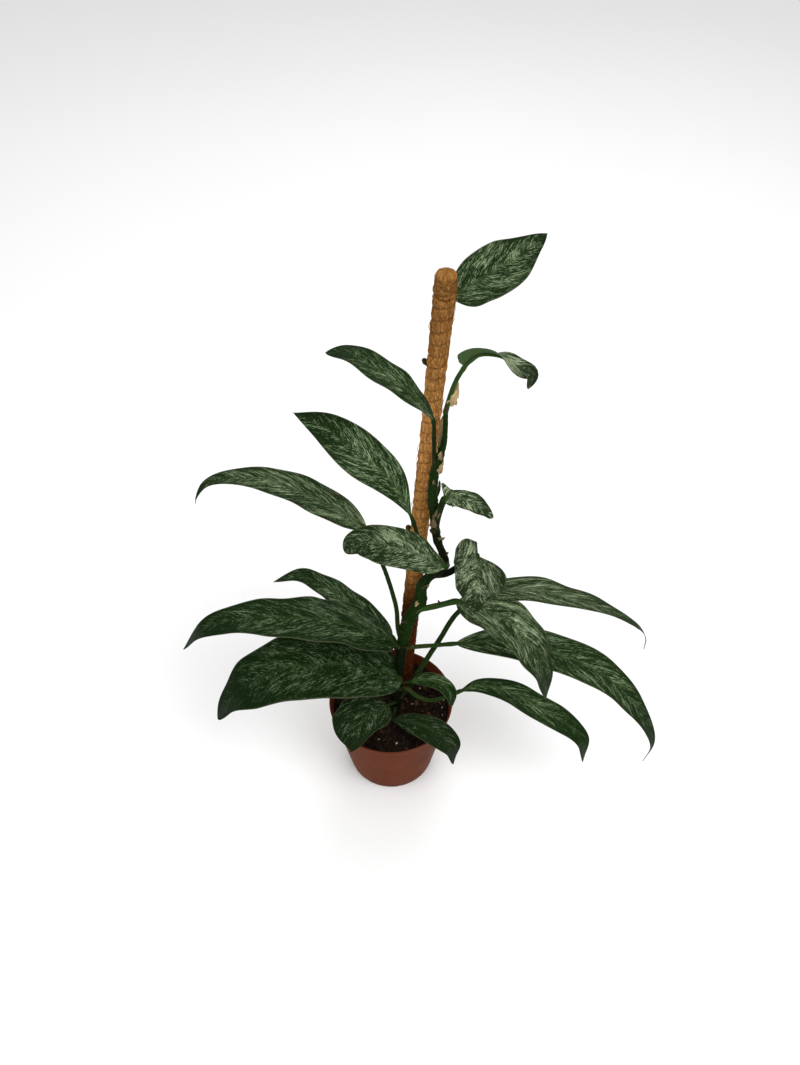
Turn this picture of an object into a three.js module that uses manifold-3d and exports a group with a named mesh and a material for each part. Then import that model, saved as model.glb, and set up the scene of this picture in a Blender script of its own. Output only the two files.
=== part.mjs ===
// Climbing plant with mint-flecked leaves on a coir pole, in a round nursery pot.
// Millimetres, +Z up. The origin is the centre of the pot's flat underside, and the plant's front faces -Y.

import * as THREE from 'three';
import { mergeVertices } from 'three/addons/utils/BufferGeometryUtils.js';
import Module from 'manifold-3d';

const wasm = await Module();
wasm.setup();

// Pot
const POT_HEIGHT = 119;
const POT_RIM_RADIUS = 74.5;
const POT_BASE_RADIUS = 52;
const POT_WALL = 1.5;
const POT_FLOOR = 2;
const POT_EDGE_ROUND = 1.5;
const POT_SIDES = 44;
const RIM_LIP_HEIGHT = 7;
const RIM_LIP_OUT = 0.7;
const DRAIN_COUNT = 6;
const DRAIN_RADIUS = 5;
const DRAIN_CIRCLE_RADIUS = 40;
const DRAIN_SIDES = 16;

// Soil
const SOIL_LEVEL = 105;
const SOIL_LUMP = 2.2;
const SOIL_SIDES = 26;
const SOIL_RINGS = [1, 0.86, 0.72, 0.58, 0.44, 0.3, 0.15, 0];
const FIT_GAP = 0.35;

// Coir pole: a wooden stick in a sleeve of coir, bound with thread
const POLE_FOOT = [14, 30, 103];
const POLE_TOP = [51, 60, 671];
const POLE_SIDES = 12;
const STICK_RADIUS = 4.5;
const STICK_POINT_RADIUS = 1.2;
const STICK_POINT_LENGTH = 12;
const STICK_BELOW_TOP = 9;
const STICK_BELOW_SOIL = 92;
const SLEEVE_BELOW_SOIL = 40;
const SLEEVE_RADIUS_LOW = 10;
const SLEEVE_RADIUS_MIDDLE = 9;
const SLEEVE_RADIUS_CAP = 10;
const CAP_LENGTH = 22;
const CAP_SHOULDER_LENGTH = 90;
const CAP_ROUND = 4;
const WAIST_SHARE = 0.7;
const THREAD_SPACING = 12.4;
const THREAD_DEPTH = 0.7;

// Leaves
const BLADE_THICKNESS = 0.9;
const WIDE_BLADE = 50;
const CELLS_ACROSS_WIDE = 6;
const CELLS_ACROSS_NARROW = 4;
const BLADE_CELL_LENGTH = 21;
const BLADE_CELLS_LEAST = 8;
const BLADE_HALF_LEAST = 0.7;
const PLAIN_EDGES = [[0, 1, 1], [1, 1, 1]];
const NO_LOBES = [0, 0];
const LOBE_SHARE = 0.3;
const LOBE_POWER = 1.5;
const END_CROWDING = 0.08;
const WAVE_SLANT = 1.2;
const MIDRIB_SHARES = [0, 0.12, 0.3, 0.5, 0.7, 0.85];
const MIDRIB_BELOW_BLADE = 0.2;
const MIDRIB_TIP_RADIUS = 0.7;
const PETIOLE_SIDES = 5;
const PETIOLE_STEP_LENGTH = 24;
const PETIOLE_STEPS_LEAST = 7;

// Stems
const STEM_SIDES = 8;
const STEM_STEP_LENGTH = 14;
const ROOTLET_SIDES = 6;
const ROOTLET_STEPS = 5;

// Stems that stand in the soil: centre line, then the radius at each of its points
const STEMS = {
  vine_front: {
    line: [
      [6, -1, 54], [7, 0, 104], [10, 5, 150], [12, 9, 197], [21, 14, 255], [33, 17, 283],
      [35, 18, 308], [44, 19, 325], [58, 21, 336], [57, 23, 351], [50, 27, 372], [44, 31, 426],
      [45, 32, 464], [53, 32, 504], [53, 31, 548],
    ],
    radii: [5, 5.5, 5, 5, 6, 7, 7, 6, 4.5, 4, 4.4, 5, 4.8, 3, 2.6],
  },
  vine_back: {
    line: [
      [15, 50, 54], [16, 50, 107], [24, 58, 242], [34, 67, 392], [41, 71, 492], [46, 74, 552],
      [50, 78, 608],
    ],
    radii: [4, 4, 3.8, 3.6, 3.4, 3.4, 3],
  },
};

// Short aerial roots and shoot tips, each grown from one of the stems
const ROOTLETS = [
  { stem: 'vine_back', line: [[45, 73, 546], [40, 69, 562], [32, 62, 578]], radii: [2.4, 2.4, 3] },
  { stem: 'vine_back', line: [[30, 63, 340], [22, 54, 360], [19, 42, 376]], radii: [2, 2.4, 3.2] },
  { stem: 'vine_front', line: [[44, 31, 424], [50, 38, 432], [51, 46, 440]], radii: [2, 1.6, 1] },
  { stem: 'vine_front', line: [[33, 18, 300], [38, 26, 306], [40, 33, 316]], radii: [2.2, 1.8, 1.2] },
  { stem: 'vine_front', line: [[12, 9, 197], [4, 14, 206], [-1, 24, 212]], radii: [2.2, 1.8, 1.2] },
];

// Each leaf: petiole line from inside its stem, midrib line, greatest width, the two powers of its outline,
// the way its upper face looks at base and tip, fold of the halves in degrees, and margin waves
// as height, count and phase.
const LEAVES = {
  leaf_01: {
    petiole: [[49, 77, 598], [51, 79, 614]],
    petioleRadius: 2.2,
    rib: [[56, 80, 632], [86, 98, 641], [114, 113, 651], [144, 132, 665]],
    face: [[0.1, -0.6, 0.8], [-0.2, -0.5, 0.8]],
    width: 50,
    outline: [0.75, 0.95],
    fold: 4,
    waves: [1, 2.5, 0],
    edges: [[0, 1, 1.5], [0.28, 1, 1], [0.6, 1, 1], [0.85, 0.95, 0.85], [1, 1, 1]],
  },
  leaf_02: {
    petiole: [[53, 31, 540], [56, 28, 560], [61, 25, 582]],
    petioleRadius: 2.4,
    rib: [
      [67, 22, 600], [72, 19, 611], [78, 16, 618], [88, 13, 621], [99, 10, 620], [111, 4, 614],
      [124, -1, 609], [121, -5, 596],
    ],
    face: [[-0.4, 0.8, 0.1], [0.6, -0.6, 0.5]],
    width: 26,
    outline: [0.45, 0.6],
    fold: 6,
    waves: [1, 2, 0],
    edges: [[0, 1, 1], [0.5, 1, 1], [0.75, 0.75, 1], [1, 1, 1]],
  },
  leaf_03: {
    petiole: [[45, 30, 462], [44, 29, 482], [43, 26, 511]],
    petioleRadius: 2.2,
    rib: [
      [42, 22, 541], [32, 21, 558], [16, 20, 577], [-13, 23, 599], [-36, 26, 611],
      [-54, 28, 610],
    ],
    face: [[0.3, -0.1, 0.9], [0, 0, 1]],
    width: 38,
    outline: [0.7, 0.7],
    fold: 4,
    waves: [1, 3, 1],
  },
  leaf_04: {
    petiole: [[42, 19, 322], [37, 17, 342], [33, 20, 367]],
    petioleRadius: 2.4,
    rib: [
      [24, 25, 405], [9, 26, 445], [-4, 28, 465], [-22, 32, 481], [-59, 48, 506],
      [-92, 60, 516],
    ],
    face: [[0.3, -0.7, 0.6], [0, -0.6, 0.8]],
    width: 44,
    outline: [1.4, 1.1],
    fold: 4,
    waves: [1, 3.5, 0],
  },
  leaf_05: {
    petiole: [[14, 10, 214], [9, 14, 236], [7, 16, 272], [2, 20, 298], [-7, 25, 333]],
    petioleRadius: 2.6,
    rib: [
      [-24, 30, 387], [-42, 30, 405], [-69, 27, 430], [-100, 19, 458], [-132, 10, 477],
      [-159, 2, 484], [-173, -6, 483], [-181, -13, 473], [-182, -16, 468],
    ],
    face: [[0.2, -0.3, 0.9], [0, -0.2, 0.95]],
    width: 38,
    outline: [0.6, 1.2],
    fold: 4,
    waves: [1, 4, 0.5],
  },
  leaf_06: {
    petiole: [[58, 22, 342], [61, 10, 352]],
    petioleRadius: 2.4,
    rib: [
      [58, -5, 365], [43, -8, 376], [18, -14, 401], [-2, -17, 411], [-20, -20, 419],
      [-34, -24, 421], [-43, -28, 413],
    ],
    face: [[0.2, -0.7, 0.7], [-0.2, -0.5, 0.8]],
    width: 40,
    outline: [0.65, 0.55],
    fold: 0,
    waves: [1.5, 3, 0],
  },
  leaf_07: {
    petiole: [[47, 28, 384], [49, 26, 407]],
    petioleRadius: 4,
    rib: [[55, 20, 439], [63, 16, 447], [72, 11, 448], [82, 5, 446], [93, 0, 441], [102, -4, 437]],
    face: [[-0.1, -0.6, 0.7], [0.3, -0.5, 0.8]],
    width: 24,
    outline: [0.3, 0.6],
    fold: 0,
    waves: [0.6, 3.5, 0],
    edges: [
      [0, 1.7, 1], [0.07, 1.7, 1], [0.2, 0.5, 1], [0.4, 0.78, 0.76], [0.6, 1.14, 0.7],
      [0.85, 1.2, 0.6], [1, 1, 1],
    ],
  },
  leaf_08: {
    petiole: [[46, 19, 326], [60, 23, 323], [74, 28, 328]],
    petioleRadius: 4,
    rib: [[94, 28, 346], [94, 12, 344], [91, -10, 342], [88, -32, 343], [86, -46, 343]],
    face: [[0.6, 0, 0.8], [0.1, -0.3, 0.9]],
    width: 62,
    outline: [0.3, 0.8],
    fold: 0,
    waves: [3, 2, 0.2],
    edges: [[0, 1, 1], [0.3, 1.12, 0.97], [0.6, 0.85, 0.93], [0.8, 0.65, 0.95], [1, 1, 1]],
    lobes: [0, 18],
  },
  leaf_09: {
    petiole: [[21, 14, 256], [32, 12, 275], [45, 10, 282], [59, 7, 291]],
    petioleRadius: 3.6,
    rib: [
      [73, 5, 299], [106, -15, 306], [131, -32, 303], [151, -48, 285], [165, -62, 257],
      [168, -75, 230],
    ],
    face: [[0.2, -0.2, 0.9], [0.7, -0.3, 0.5]],
    width: 56,
    outline: [0.55, 0.75],
    fold: 2,
    waves: [2, 4, 0],
  },
  leaf_10: {
    petiole: [[8, 1, 118], [19, 4, 132], [38, 6, 181], [56, 11, 222], [75, 15, 266]],
    petioleRadius: 3.2,
    rib: [
      [106, 21, 296], [137, 19, 302], [160, 16, 305], [191, 10, 300], [226, 4, 293],
      [259, -4, 278], [275, -9, 267], [282, -12, 254], [282, -15, 239],
    ],
    face: [[-0.2, -0.3, 0.9], [0.5, 0.2, 0.75]],
    width: 31,
    outline: [0.42, 1.3],
    fold: 3,
    waves: [1, 4, 0.3],
  },
  leaf_11: {
    petiole: [[12, 9, 208], [28, 7, 214], [50, 3, 222]],
    petioleRadius: 2.6,
    rib: [
      [74, 0, 230], [122, -8, 243], [171, -20, 245], [233, -40, 229], [269, -55, 196],
      [291, -70, 165], [298, -78, 142], [291, -84, 117],
    ],
    face: [[-0.2, -0.2, 0.9], [0.8, -0.5, 0.4]],
    width: 43,
    outline: [0.65, 1.05],
    fold: 3,
    waves: [1.2, 5, 0],
  },
  leaf_12: {
    petiole: [[9, 3, 134], [19, -4, 147], [31, -11, 141], [46, -16, 140], [63, -18, 149]],
    petioleRadius: 2.6,
    rib: [
      [81, -17, 161], [100, -21, 177], [120, -26, 181], [142, -33, 179], [168, -43, 167],
      [194, -52, 155], [211, -60, 145], [222, -68, 133], [225, -75, 100],
    ],
    face: [[-0.3, -0.3, 0.9], [0.7, -0.5, 0.5]],
    width: 30,
    outline: [0.8, 0.75],
    fold: 2,
    waves: [1.2, 4, 0],
  },
  leaf_13: {
    petiole: [[9, 4, 140], [14, 2, 150]],
    petioleRadius: 1.8,
    rib: [
      [25, -2, 158], [38, -8, 171], [50, -15, 179], [62, -23, 180], [70, -30, 172],
      [71, -36, 157],
    ],
    face: [[0, -0.5, 0.8], [0.6, -0.5, 0.6]],
    width: 18,
    outline: [0.6, 0.5],
    fold: 3,
    waves: [1, 2, 0],
  },
  leaf_14: {
    petiole: [[7, 0, 112], [3, -8, 122]],
    petioleRadius: 2,
    rib: [[-4, -16, 129], [-24, -34, 137], [-38, -56, 138], [-46, -74, 120]],
    face: [[-0.1, -0.3, 0.9], [-0.3, -0.5, 0.7]],
    width: 56,
    outline: [0.42, 0.9],
    fold: 2,
    waves: [1, 2.5, 0],
    edges: [
      [0, 0.8, 0.8], [0.25, 0.8, 1.05], [0.5, 0.8, 1.35], [0.7, 0.85, 1.75], [0.9, 1, 2],
      [1, 1, 1],
    ],
  },
  leaf_15: {
    petiole: [[7, 0, 108], [4, -12, 108]],
    petioleRadius: 2,
    rib: [[1, -25, 113], [25, -40, 131], [51, -55, 135], [69, -66, 124], [74, -72, 90]],
    face: [[0, -0.4, 0.9], [0.7, -0.5, 0.5]],
    width: 33,
    outline: [0.85, 0.72],
    fold: 2,
    waves: [2, 3, 0],
    edges: [[0, 0.8, 1], [0.4, 0.85, 1], [0.65, 1, 1], [0.88, 1, 0.6], [1, 1, 0.7]],
  },
  leaf_16: {
    petiole: [[13, 10, 204], [10, 7, 214]],
    petioleRadius: 3,
    rib: [
      [4, 5, 225], [-6, 4, 237], [-26, 3, 250], [-51, 1, 266], [-81, -3, 278], [-113, -6, 284],
      [-144, -9, 289], [-175, -13, 288], [-204, -19, 279], [-227, -23, 249],
    ],
    face: [[0.1, 0, 1], [-0.3, 0, 0.95]],
    width: 62,
    outline: [0.38, 0.85],
    fold: 0,
    waves: [1.5, 5, 0],
    edges: [[0, 1, 1], [1, 1, 1]],
  },
  leaf_17: {
    petiole: [[10, 5, 146], [8, 2, 154]],
    petioleRadius: 3,
    rib: [
      [13, -2, 160], [-4, -5, 179], [-23, -8, 192], [-61, -16, 211], [-104, -25, 220],
      [-133, -31, 216], [-165, -38, 201], [-185, -42, 179], [-200, -46, 146],
    ],
    face: [[0.1, -0.3, 0.95], [-0.4, -0.3, 0.8]],
    width: 79,
    outline: [0.45, 0.62],
    fold: 0,
    waves: [1.5, 5, 0.4],
    edges: [[0, 1, 1], [0.5, 1, 1.05], [0.72, 1, 0.95], [0.9, 0.7, 0.62], [1, 0.7, 0.7]],
  },
  leaf_18: {
    petiole: [[12, 9, 190], [9, 22, 192]],
    petioleRadius: 2.4,
    rib: [
      [2, 34, 200], [-22, 45, 217], [-52, 54, 240], [-79, 58, 264], [-103, 58, 280],
      [-133, 55, 272],
    ],
    face: [[0.1, 0, 1], [-0.1, 0, 1]],
    width: 39,
    outline: [0.6, 0.95],
    fold: 2,
    waves: [1, 4, 0],
  },
};

// Dry papery sheaths that stand beside the stem and petioles, in the same terms as a blade
const SHEATHS = {
  dry_sheath_upper: {
    rib: [[50, 36, 458], [50, 38, 490], [51, 38, 530]],
    face: [[0.2, -0.9, 0.3], [0.2, -0.9, 0.3]],
    width: 9,
    outline: [0.4, 0.5],
    fold: 30,
    waves: [0.6, 3, 0],
  },
  dry_sheath_tip: {
    rib: [[58, 33, 548], [60, 33, 562], [62, 32, 578]],
    face: [[0.4, -0.8, 0.3], [0.4, -0.8, 0.3]],
    width: 8,
    outline: [0.4, 0.5],
    fold: 30,
    waves: [0.4, 2, 0],
  },
};

const COLOURS = {
  pot: 0x7a3a22,
  soil: 0x1d150f,
  stick: 0xb08a5a,
  coir: 0x9a6230,
  sheath: 0xb08f62,
  stem: 0x1f3318,
  leaf: 0x2c4a2a,
};
const ROUGHNESS = 0.6;

function toVectors(rows) {
  return rows.map((row) => new THREE.Vector3(...row));
}

function smoothLine(rows) {
  return new THREE.CatmullRomCurve3(toVectors(rows), false, 'centripetal');
}

function clamp01(value) {
  return Math.min(1, Math.max(0, value));
}

function interpolate(values, share) {
  const place = clamp01(share) * (values.length - 1);
  const low = Math.min(values.length - 2, Math.floor(place));
  return THREE.MathUtils.lerp(values[low], values[low + 1], place - low);
}

// Solids and meshes

function toSolid(geometry) {
  const bare = geometry.index ? geometry.clone() : geometry;
  bare.deleteAttribute('normal');
  bare.deleteAttribute('uv');
  const merged = mergeVertices(bare, 1e-4);
  return new wasm.Manifold(new wasm.Mesh({
    numProp: 3,
    vertProperties: new Float32Array(merged.attributes.position.array),
    triVerts: new Uint32Array(merged.index.array),
  }));
}

function toGeometry(solid) {
  const mesh = solid.getMesh();
  const geometry = new THREE.BufferGeometry();
  geometry.setAttribute('position', new THREE.BufferAttribute(new Float32Array(mesh.vertProperties), 3));
  geometry.setIndex(new THREE.BufferAttribute(new Uint32Array(mesh.triVerts), 1));
  return geometry;
}

function largestBody(solid) {
  return solid.decompose().reduce((best, body) => (body.volume() > best.volume() ? body : best));
}

function place(geometry, from, to) {
  const start = new THREE.Vector3(...from);
  const axis = new THREE.Vector3(...to).sub(start).normalize();
  geometry.applyQuaternion(new THREE.Quaternion().setFromUnitVectors(new THREE.Vector3(0, 0, 1), axis));
  geometry.translate(start.x, start.y, start.z);
  return geometry;
}

// A lathe about Z from a profile of [radius, height] rows
function turned(profile, sides) {
  const geometry = new THREE.LatheGeometry(profile.map(([r, z]) => new THREE.Vector2(r, z)), sides);
  return geometry.rotateX(Math.PI / 2);
}

// A tapering round stem: a cylinder bent along a line
function bentStem(line, radii, sides, steps, extra = 0) {
  const curve = smoothLine(line);
  const frames = curve.computeFrenetFrames(steps, false);
  const tube = new THREE.CylinderGeometry(1, 1, 1, sides, steps);
  const position = tube.attributes.position;
  for (let i = 0; i < position.count; i += 1) {
    const share = clamp01(position.getY(i) + 0.5);
    const step = Math.round(share * steps);
    const radius = interpolate(radii, share) + extra;
    const point = curve.getPointAt(step / steps);
    point.addScaledVector(frames.normals[step], position.getX(i) * radius);
    point.addScaledVector(frames.binormals[step], -position.getZ(i) * radius);
    position.setXYZ(i, point.x, point.y, point.z);
  }
  return toSolid(tube);
}

// Leaf shapes

function outlineShare(share, [basePower, tipPower]) {
  const widest = basePower / (basePower + tipPower);
  const peak = widest ** basePower * (1 - widest) ** tipPower;
  return (share ** basePower * (1 - share) ** tipPower) / peak;
}

// The frame of a leaf at a share of its midrib: point, tangent, sideways and upward directions
function leafFrame(leaf, curve, share) {
  const point = curve.getPointAt(share);
  const tangent = curve.getTangentAt(share);
  const face = new THREE.Vector3(...leaf.face[0]).lerp(new THREE.Vector3(...leaf.face[1]), share);
  const side = new THREE.Vector3().crossVectors(tangent, face).normalize();
  const up = new THREE.Vector3().crossVectors(side, tangent).normalize();
  return { point, tangent, side, up };
}

// The factor by which one side of a blade differs from its plain outline at a share of the midrib
function edgeFactor(leaf, share, across) {
  const rows = leaf.edges ?? PLAIN_EDGES;
  const column = across < 0 ? 1 : 2;
  const next = Math.max(1, rows.findIndex((row) => row[0] >= share));
  const [before, after] = [rows[next - 1], rows[next]];
  const step = THREE.MathUtils.smoothstep(share, before[0], after[0]);
  return before[column] + (after[column] - before[column]) * step;
}

// How far a lobe at the blade's base runs back past the foot of the midrib
function lobeLength(leaf, share, across) {
  const [left, right] = leaf.lobes ?? NO_LOBES;
  const fade = 1 - Math.min(1, share / LOBE_SHARE);
  return (across < 0 ? left : right) * Math.abs(across) ** LOBE_POWER * fade ** 2;
}

function bladePoint(leaf, frame, share, across) {
  const spread = outlineShare(share, leaf.outline);
  const half = 0.5 * leaf.width * spread * edgeFactor(leaf, share, across);
  const reach = Math.max(BLADE_HALF_LEAST, half) * across;
  const fold = THREE.MathUtils.degToRad(leaf.fold);
  const [height, count, phase] = leaf.waves;
  const turn = 2 * Math.PI * (count * share + phase) + across * WAVE_SLANT;
  const wave = height * spread * across ** 2 * Math.sin(turn);
  return frame.point.clone()
    .addScaledVector(frame.tangent, -lobeLength(leaf, share, across))
    .addScaledVector(frame.side, reach * Math.cos(fold))
    .addScaledVector(frame.up, Math.abs(reach) * Math.sin(fold) + wave);
}

// The blade: a grid over the leaf's outline, the same grid below it, and a rim between the two
function bladeSolid(leaf) {
  const curve = smoothLine(leaf.rib);
  const along = Math.max(BLADE_CELLS_LEAST, Math.round(curve.getLength() / BLADE_CELL_LENGTH));
  const cellsAcross = leaf.width > WIDE_BLADE ? CELLS_ACROSS_WIDE : CELLS_ACROSS_NARROW;
  const sheet = new THREE.PlaneGeometry(2, 1, cellsAcross, along);
  const flat = sheet.attributes.position;
  const count = flat.count;
  const vertices = new Float32Array(count * 6);
  for (let i = 0; i < count; i += 1) {
    const even = clamp01(flat.getY(i) + 0.5);
    const share = even - END_CROWDING * Math.sin(2 * Math.PI * even);
    const frame = leafFrame(leaf, curve, share);
    const top = bladePoint(leaf, frame, share, flat.getX(i));
    const bottom = top.clone().addScaledVector(frame.up, -BLADE_THICKNESS);
    top.toArray(vertices, i * 3);
    bottom.toArray(vertices, (count + i) * 3);
  }
  const triangles = [];
  const cells = sheet.index.array;
  for (let i = 0; i < cells.length; i += 3) {
    const [a, b, c] = [cells[i], cells[i + 1], cells[i + 2]];
    triangles.push(a, b, c, count + a, count + c, count + b);
  }
  const row = cellsAcross + 1;
  const border = [];
  for (let i = 0; i < cellsAcross; i += 1) border.push(i);
  for (let i = 0; i < along; i += 1) border.push(cellsAcross + i * row);
  for (let i = cellsAcross; i > 0; i -= 1) border.push(along * row + i);
  for (let i = along; i > 0; i -= 1) border.push(i * row);
  border.forEach((here, i) => {
    const next = border[(i + 1) % border.length];
    triangles.push(here, next, count + next, here, count + next, count + here);
  });
  const geometry = new THREE.BufferGeometry();
  geometry.setAttribute('position', new THREE.BufferAttribute(vertices, 3));
  geometry.setIndex(triangles);
  return toSolid(geometry);
}

// The petiole, which runs on under the blade as its midrib
function petioleSolid(leaf, extra = 0) {
  const curve = smoothLine(leaf.rib);
  const below = MIDRIB_SHARES.map((share) => {
    const { point, up } = leafFrame(leaf, curve, share);
    return point.addScaledVector(up, -BLADE_THICKNESS - MIDRIB_BELOW_BLADE).toArray();
  });
  const line = [...leaf.petiole, ...below];
  const thick = leaf.petioleRadius;
  const radii = [thick, thick, thick * 0.9, thick * 0.7, thick * 0.5, MIDRIB_TIP_RADIUS];
  const length = smoothLine(line).getLength();
  const steps = Math.max(PETIOLE_STEPS_LEAST, Math.round(length / PETIOLE_STEP_LENGTH));
  return bentStem(line, radii, PETIOLE_SIDES, steps, extra);
}

// Pot and soil

function potRadius(height) {
  return POT_BASE_RADIUS + (POT_RIM_RADIUS - RIM_LIP_OUT - POT_BASE_RADIUS) * (height / POT_HEIGHT);
}

function potSolid() {
  const lipFoot = POT_HEIGHT - RIM_LIP_HEIGHT;
  const floorEdge = POT_FLOOR + POT_EDGE_ROUND;
  const profile = [
    [0, 0], [POT_BASE_RADIUS - POT_EDGE_ROUND, 0], [POT_BASE_RADIUS, POT_EDGE_ROUND],
    [potRadius(lipFoot), lipFoot], [potRadius(lipFoot) + RIM_LIP_OUT, lipFoot + 1],
    [POT_RIM_RADIUS, POT_HEIGHT - 0.6], [POT_RIM_RADIUS - 0.6, POT_HEIGHT],
    [POT_RIM_RADIUS - POT_WALL, POT_HEIGHT], [potRadius(floorEdge) - POT_WALL, floorEdge],
    [potRadius(POT_FLOOR) - POT_WALL - POT_EDGE_ROUND, POT_FLOOR], [0, POT_FLOOR],
  ];
  let pot = toSolid(turned(profile, POT_SIDES));
  for (let i = 0; i < DRAIN_COUNT; i += 1) {
    const angle = (2 * Math.PI * (i + 0.5)) / DRAIN_COUNT;
    const drain = new THREE.CylinderGeometry(DRAIN_RADIUS, DRAIN_RADIUS, 4 * POT_FLOOR, DRAIN_SIDES);
    drain.rotateX(Math.PI / 2);
    drain.translate(DRAIN_CIRCLE_RADIUS * Math.cos(angle), DRAIN_CIRCLE_RADIUS * Math.sin(angle), 0);
    pot = pot.subtract(toSolid(drain));
  }
  return pot;
}

function soilHeight(x, y) {
  const lumps = Math.sin(0.21 * x + 1.3) * Math.cos(0.17 * y) + 0.6 * Math.sin(0.43 * x - 0.31 * y)
    + 0.4 * Math.cos(0.67 * y + 0.23 * x);
  return SOIL_LEVEL + SOIL_LUMP * 0.5 * lumps;
}

function soilSolid() {
  const radiusAt = (height) => potRadius(height) - POT_WALL - FIT_GAP;
  const low = POT_FLOOR + FIT_GAP;
  const profile = [[0, low], [radiusAt(low) - 2.2, low], [radiusAt(low + 2), low + 2]];
  for (const share of SOIL_RINGS) {
    profile.push([(radiusAt(SOIL_LEVEL) - 0.8) * share, SOIL_LEVEL]);
  }
  const soil = turned(profile, SOIL_SIDES);
  const position = soil.attributes.position;
  for (let i = 0; i < position.count; i += 1) {
    if (position.getZ(i) > SOIL_LEVEL - 1) {
      position.setZ(i, soilHeight(position.getX(i), position.getY(i)));
    }
  }
  return toSolid(soil);
}

// Pole

function poleAxis() {
  const foot = new THREE.Vector3(...POLE_FOOT);
  const top = new THREE.Vector3(...POLE_TOP);
  return { foot, axis: top.clone().sub(foot).normalize(), length: top.distanceTo(foot) };
}

function onPole(geometry) {
  return place(geometry, POLE_FOOT, POLE_TOP);
}

function stickSolid(extra = 0) {
  const { length } = poleAxis();
  const radius = STICK_RADIUS + extra;
  const top = length - STICK_BELOW_TOP + extra;
  const foot = -STICK_BELOW_SOIL - extra;
  const profile = [
    [0, foot], [STICK_POINT_RADIUS + extra, foot], [radius, foot + STICK_POINT_LENGTH],
    [radius, top - 1], [radius - 1, top], [0, top],
  ];
  return toSolid(onPole(turned(profile, POLE_SIDES)));
}

function sleeveRadius(height, length) {
  const fromTop = length - height;
  const narrowing = clamp01(height / (WAIST_SHARE * length));
  const waist = THREE.MathUtils.lerp(SLEEVE_RADIUS_LOW, SLEEVE_RADIUS_MIDDLE, narrowing);
  const shoulder = clamp01((fromTop - CAP_LENGTH) / CAP_SHOULDER_LENGTH);
  return THREE.MathUtils.lerp(SLEEVE_RADIUS_CAP, waist, shoulder);
}

function sleeveSolid(extra = 0) {
  const { length } = poleAxis();
  const foot = -SLEEVE_BELOW_SOIL - extra;
  const profile = [[0, foot], [sleeveRadius(0, length) - 0.5 + extra, foot]];
  const turns = Math.floor((length - CAP_LENGTH) / THREAD_SPACING);
  const first = length - CAP_LENGTH - turns * THREAD_SPACING;
  for (let i = 0; i <= turns; i += 1) {
    const height = first + i * THREAD_SPACING;
    const deep = i === turns ? 2 * THREAD_DEPTH : THREAD_DEPTH;
    profile.push([sleeveRadius(height, length) - deep + extra, height]);
    profile.push([sleeveRadius(height, length) + extra, height + 0.5 * THREAD_SPACING]);
  }
  const cap = SLEEVE_RADIUS_CAP + extra;
  profile.push([cap, length - CAP_ROUND], [cap - 0.3 * CAP_ROUND, length - 0.3 * CAP_ROUND + extra]);
  profile.push([cap - CAP_ROUND, length + extra], [0, length + 0.4 + extra]);
  return toSolid(onPole(turned(profile, POLE_SIDES)));
}

// Assembly

const stick = stickSolid();
const sleeve = sleeveSolid();
const poleRoom = sleeveSolid(FIT_GAP);

const stems = {};
const stemRooms = {};
for (const [name, { line, radii }] of Object.entries(STEMS)) {
  const steps = Math.round(smoothLine(line).getLength() / STEM_STEP_LENGTH);
  stems[name] = bentStem(line, radii, STEM_SIDES, steps);
  stemRooms[name] = bentStem(line, radii, STEM_SIDES, steps, FIT_GAP);
}
for (const { stem, line, radii } of ROOTLETS) {
  const rootlet = bentStem(line, radii, ROOTLET_SIDES, ROOTLET_STEPS);
  const room = bentStem(line, radii, ROOTLET_SIDES, ROOTLET_STEPS, FIT_GAP);
  stems[stem] = stems[stem].add(rootlet);
  stemRooms[stem] = stemRooms[stem].add(room);
}

const solids = {};
solids.pot = potSolid();
solids.soil = soilSolid().subtract(poleRoom).subtract(stickSolid(FIT_GAP));
solids.pole_stick = stick;
solids.coir_sleeve = sleeve.subtract(stickSolid(FIT_GAP));
for (const [name, stem] of Object.entries(stems)) {
  solids.soil = solids.soil.subtract(stemRooms[name]);
  solids[name] = largestBody(stem.subtract(poleRoom));
}
for (const [name, leaf] of Object.entries(LEAVES)) {
  let leafBody = bladeSolid(leaf).add(petioleSolid(leaf));
  for (const room of Object.values(stemRooms)) leafBody = leafBody.subtract(room);
  solids[name] = largestBody(leafBody);
}
for (const [name, sheath] of Object.entries(SHEATHS)) {
  let sheathBody = bladeSolid(sheath).subtract(poleRoom);
  for (const room of Object.values(stemRooms)) sheathBody = sheathBody.subtract(room);
  for (const leaf of Object.values(LEAVES)) sheathBody = sheathBody.subtract(petioleSolid(leaf, FIT_GAP));
  solids[name] = largestBody(sheathBody);
}

const MATERIAL_OF = {
  pot: 'pot',
  soil: 'soil',
  pole_stick: 'stick',
  coir_sleeve: 'coir',
  vine_front: 'stem',
  vine_back: 'stem',
  dry_sheath_upper: 'sheath',
  dry_sheath_tip: 'sheath',
};

const plant = new THREE.Group();
for (const [name, solid] of Object.entries(solids)) {
  const colour = COLOURS[MATERIAL_OF[name] ?? 'leaf'];
  const material = new THREE.MeshStandardMaterial({ color: colour, roughness: ROUGHNESS });
  const mesh = new THREE.Mesh(toGeometry(solid), material);
  mesh.name = name;
  plant.add(mesh);
}

export default plant;
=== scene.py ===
"""Looks of a climbing house plant: mint-flecked leaves, stems, coir pole, soil and nursery pot.

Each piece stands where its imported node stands. The tables are in millimetres, as the part is drawn.
"""

import math

import bmesh
import bpy
import numpy as np
from mathutils import Matrix, Vector


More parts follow.
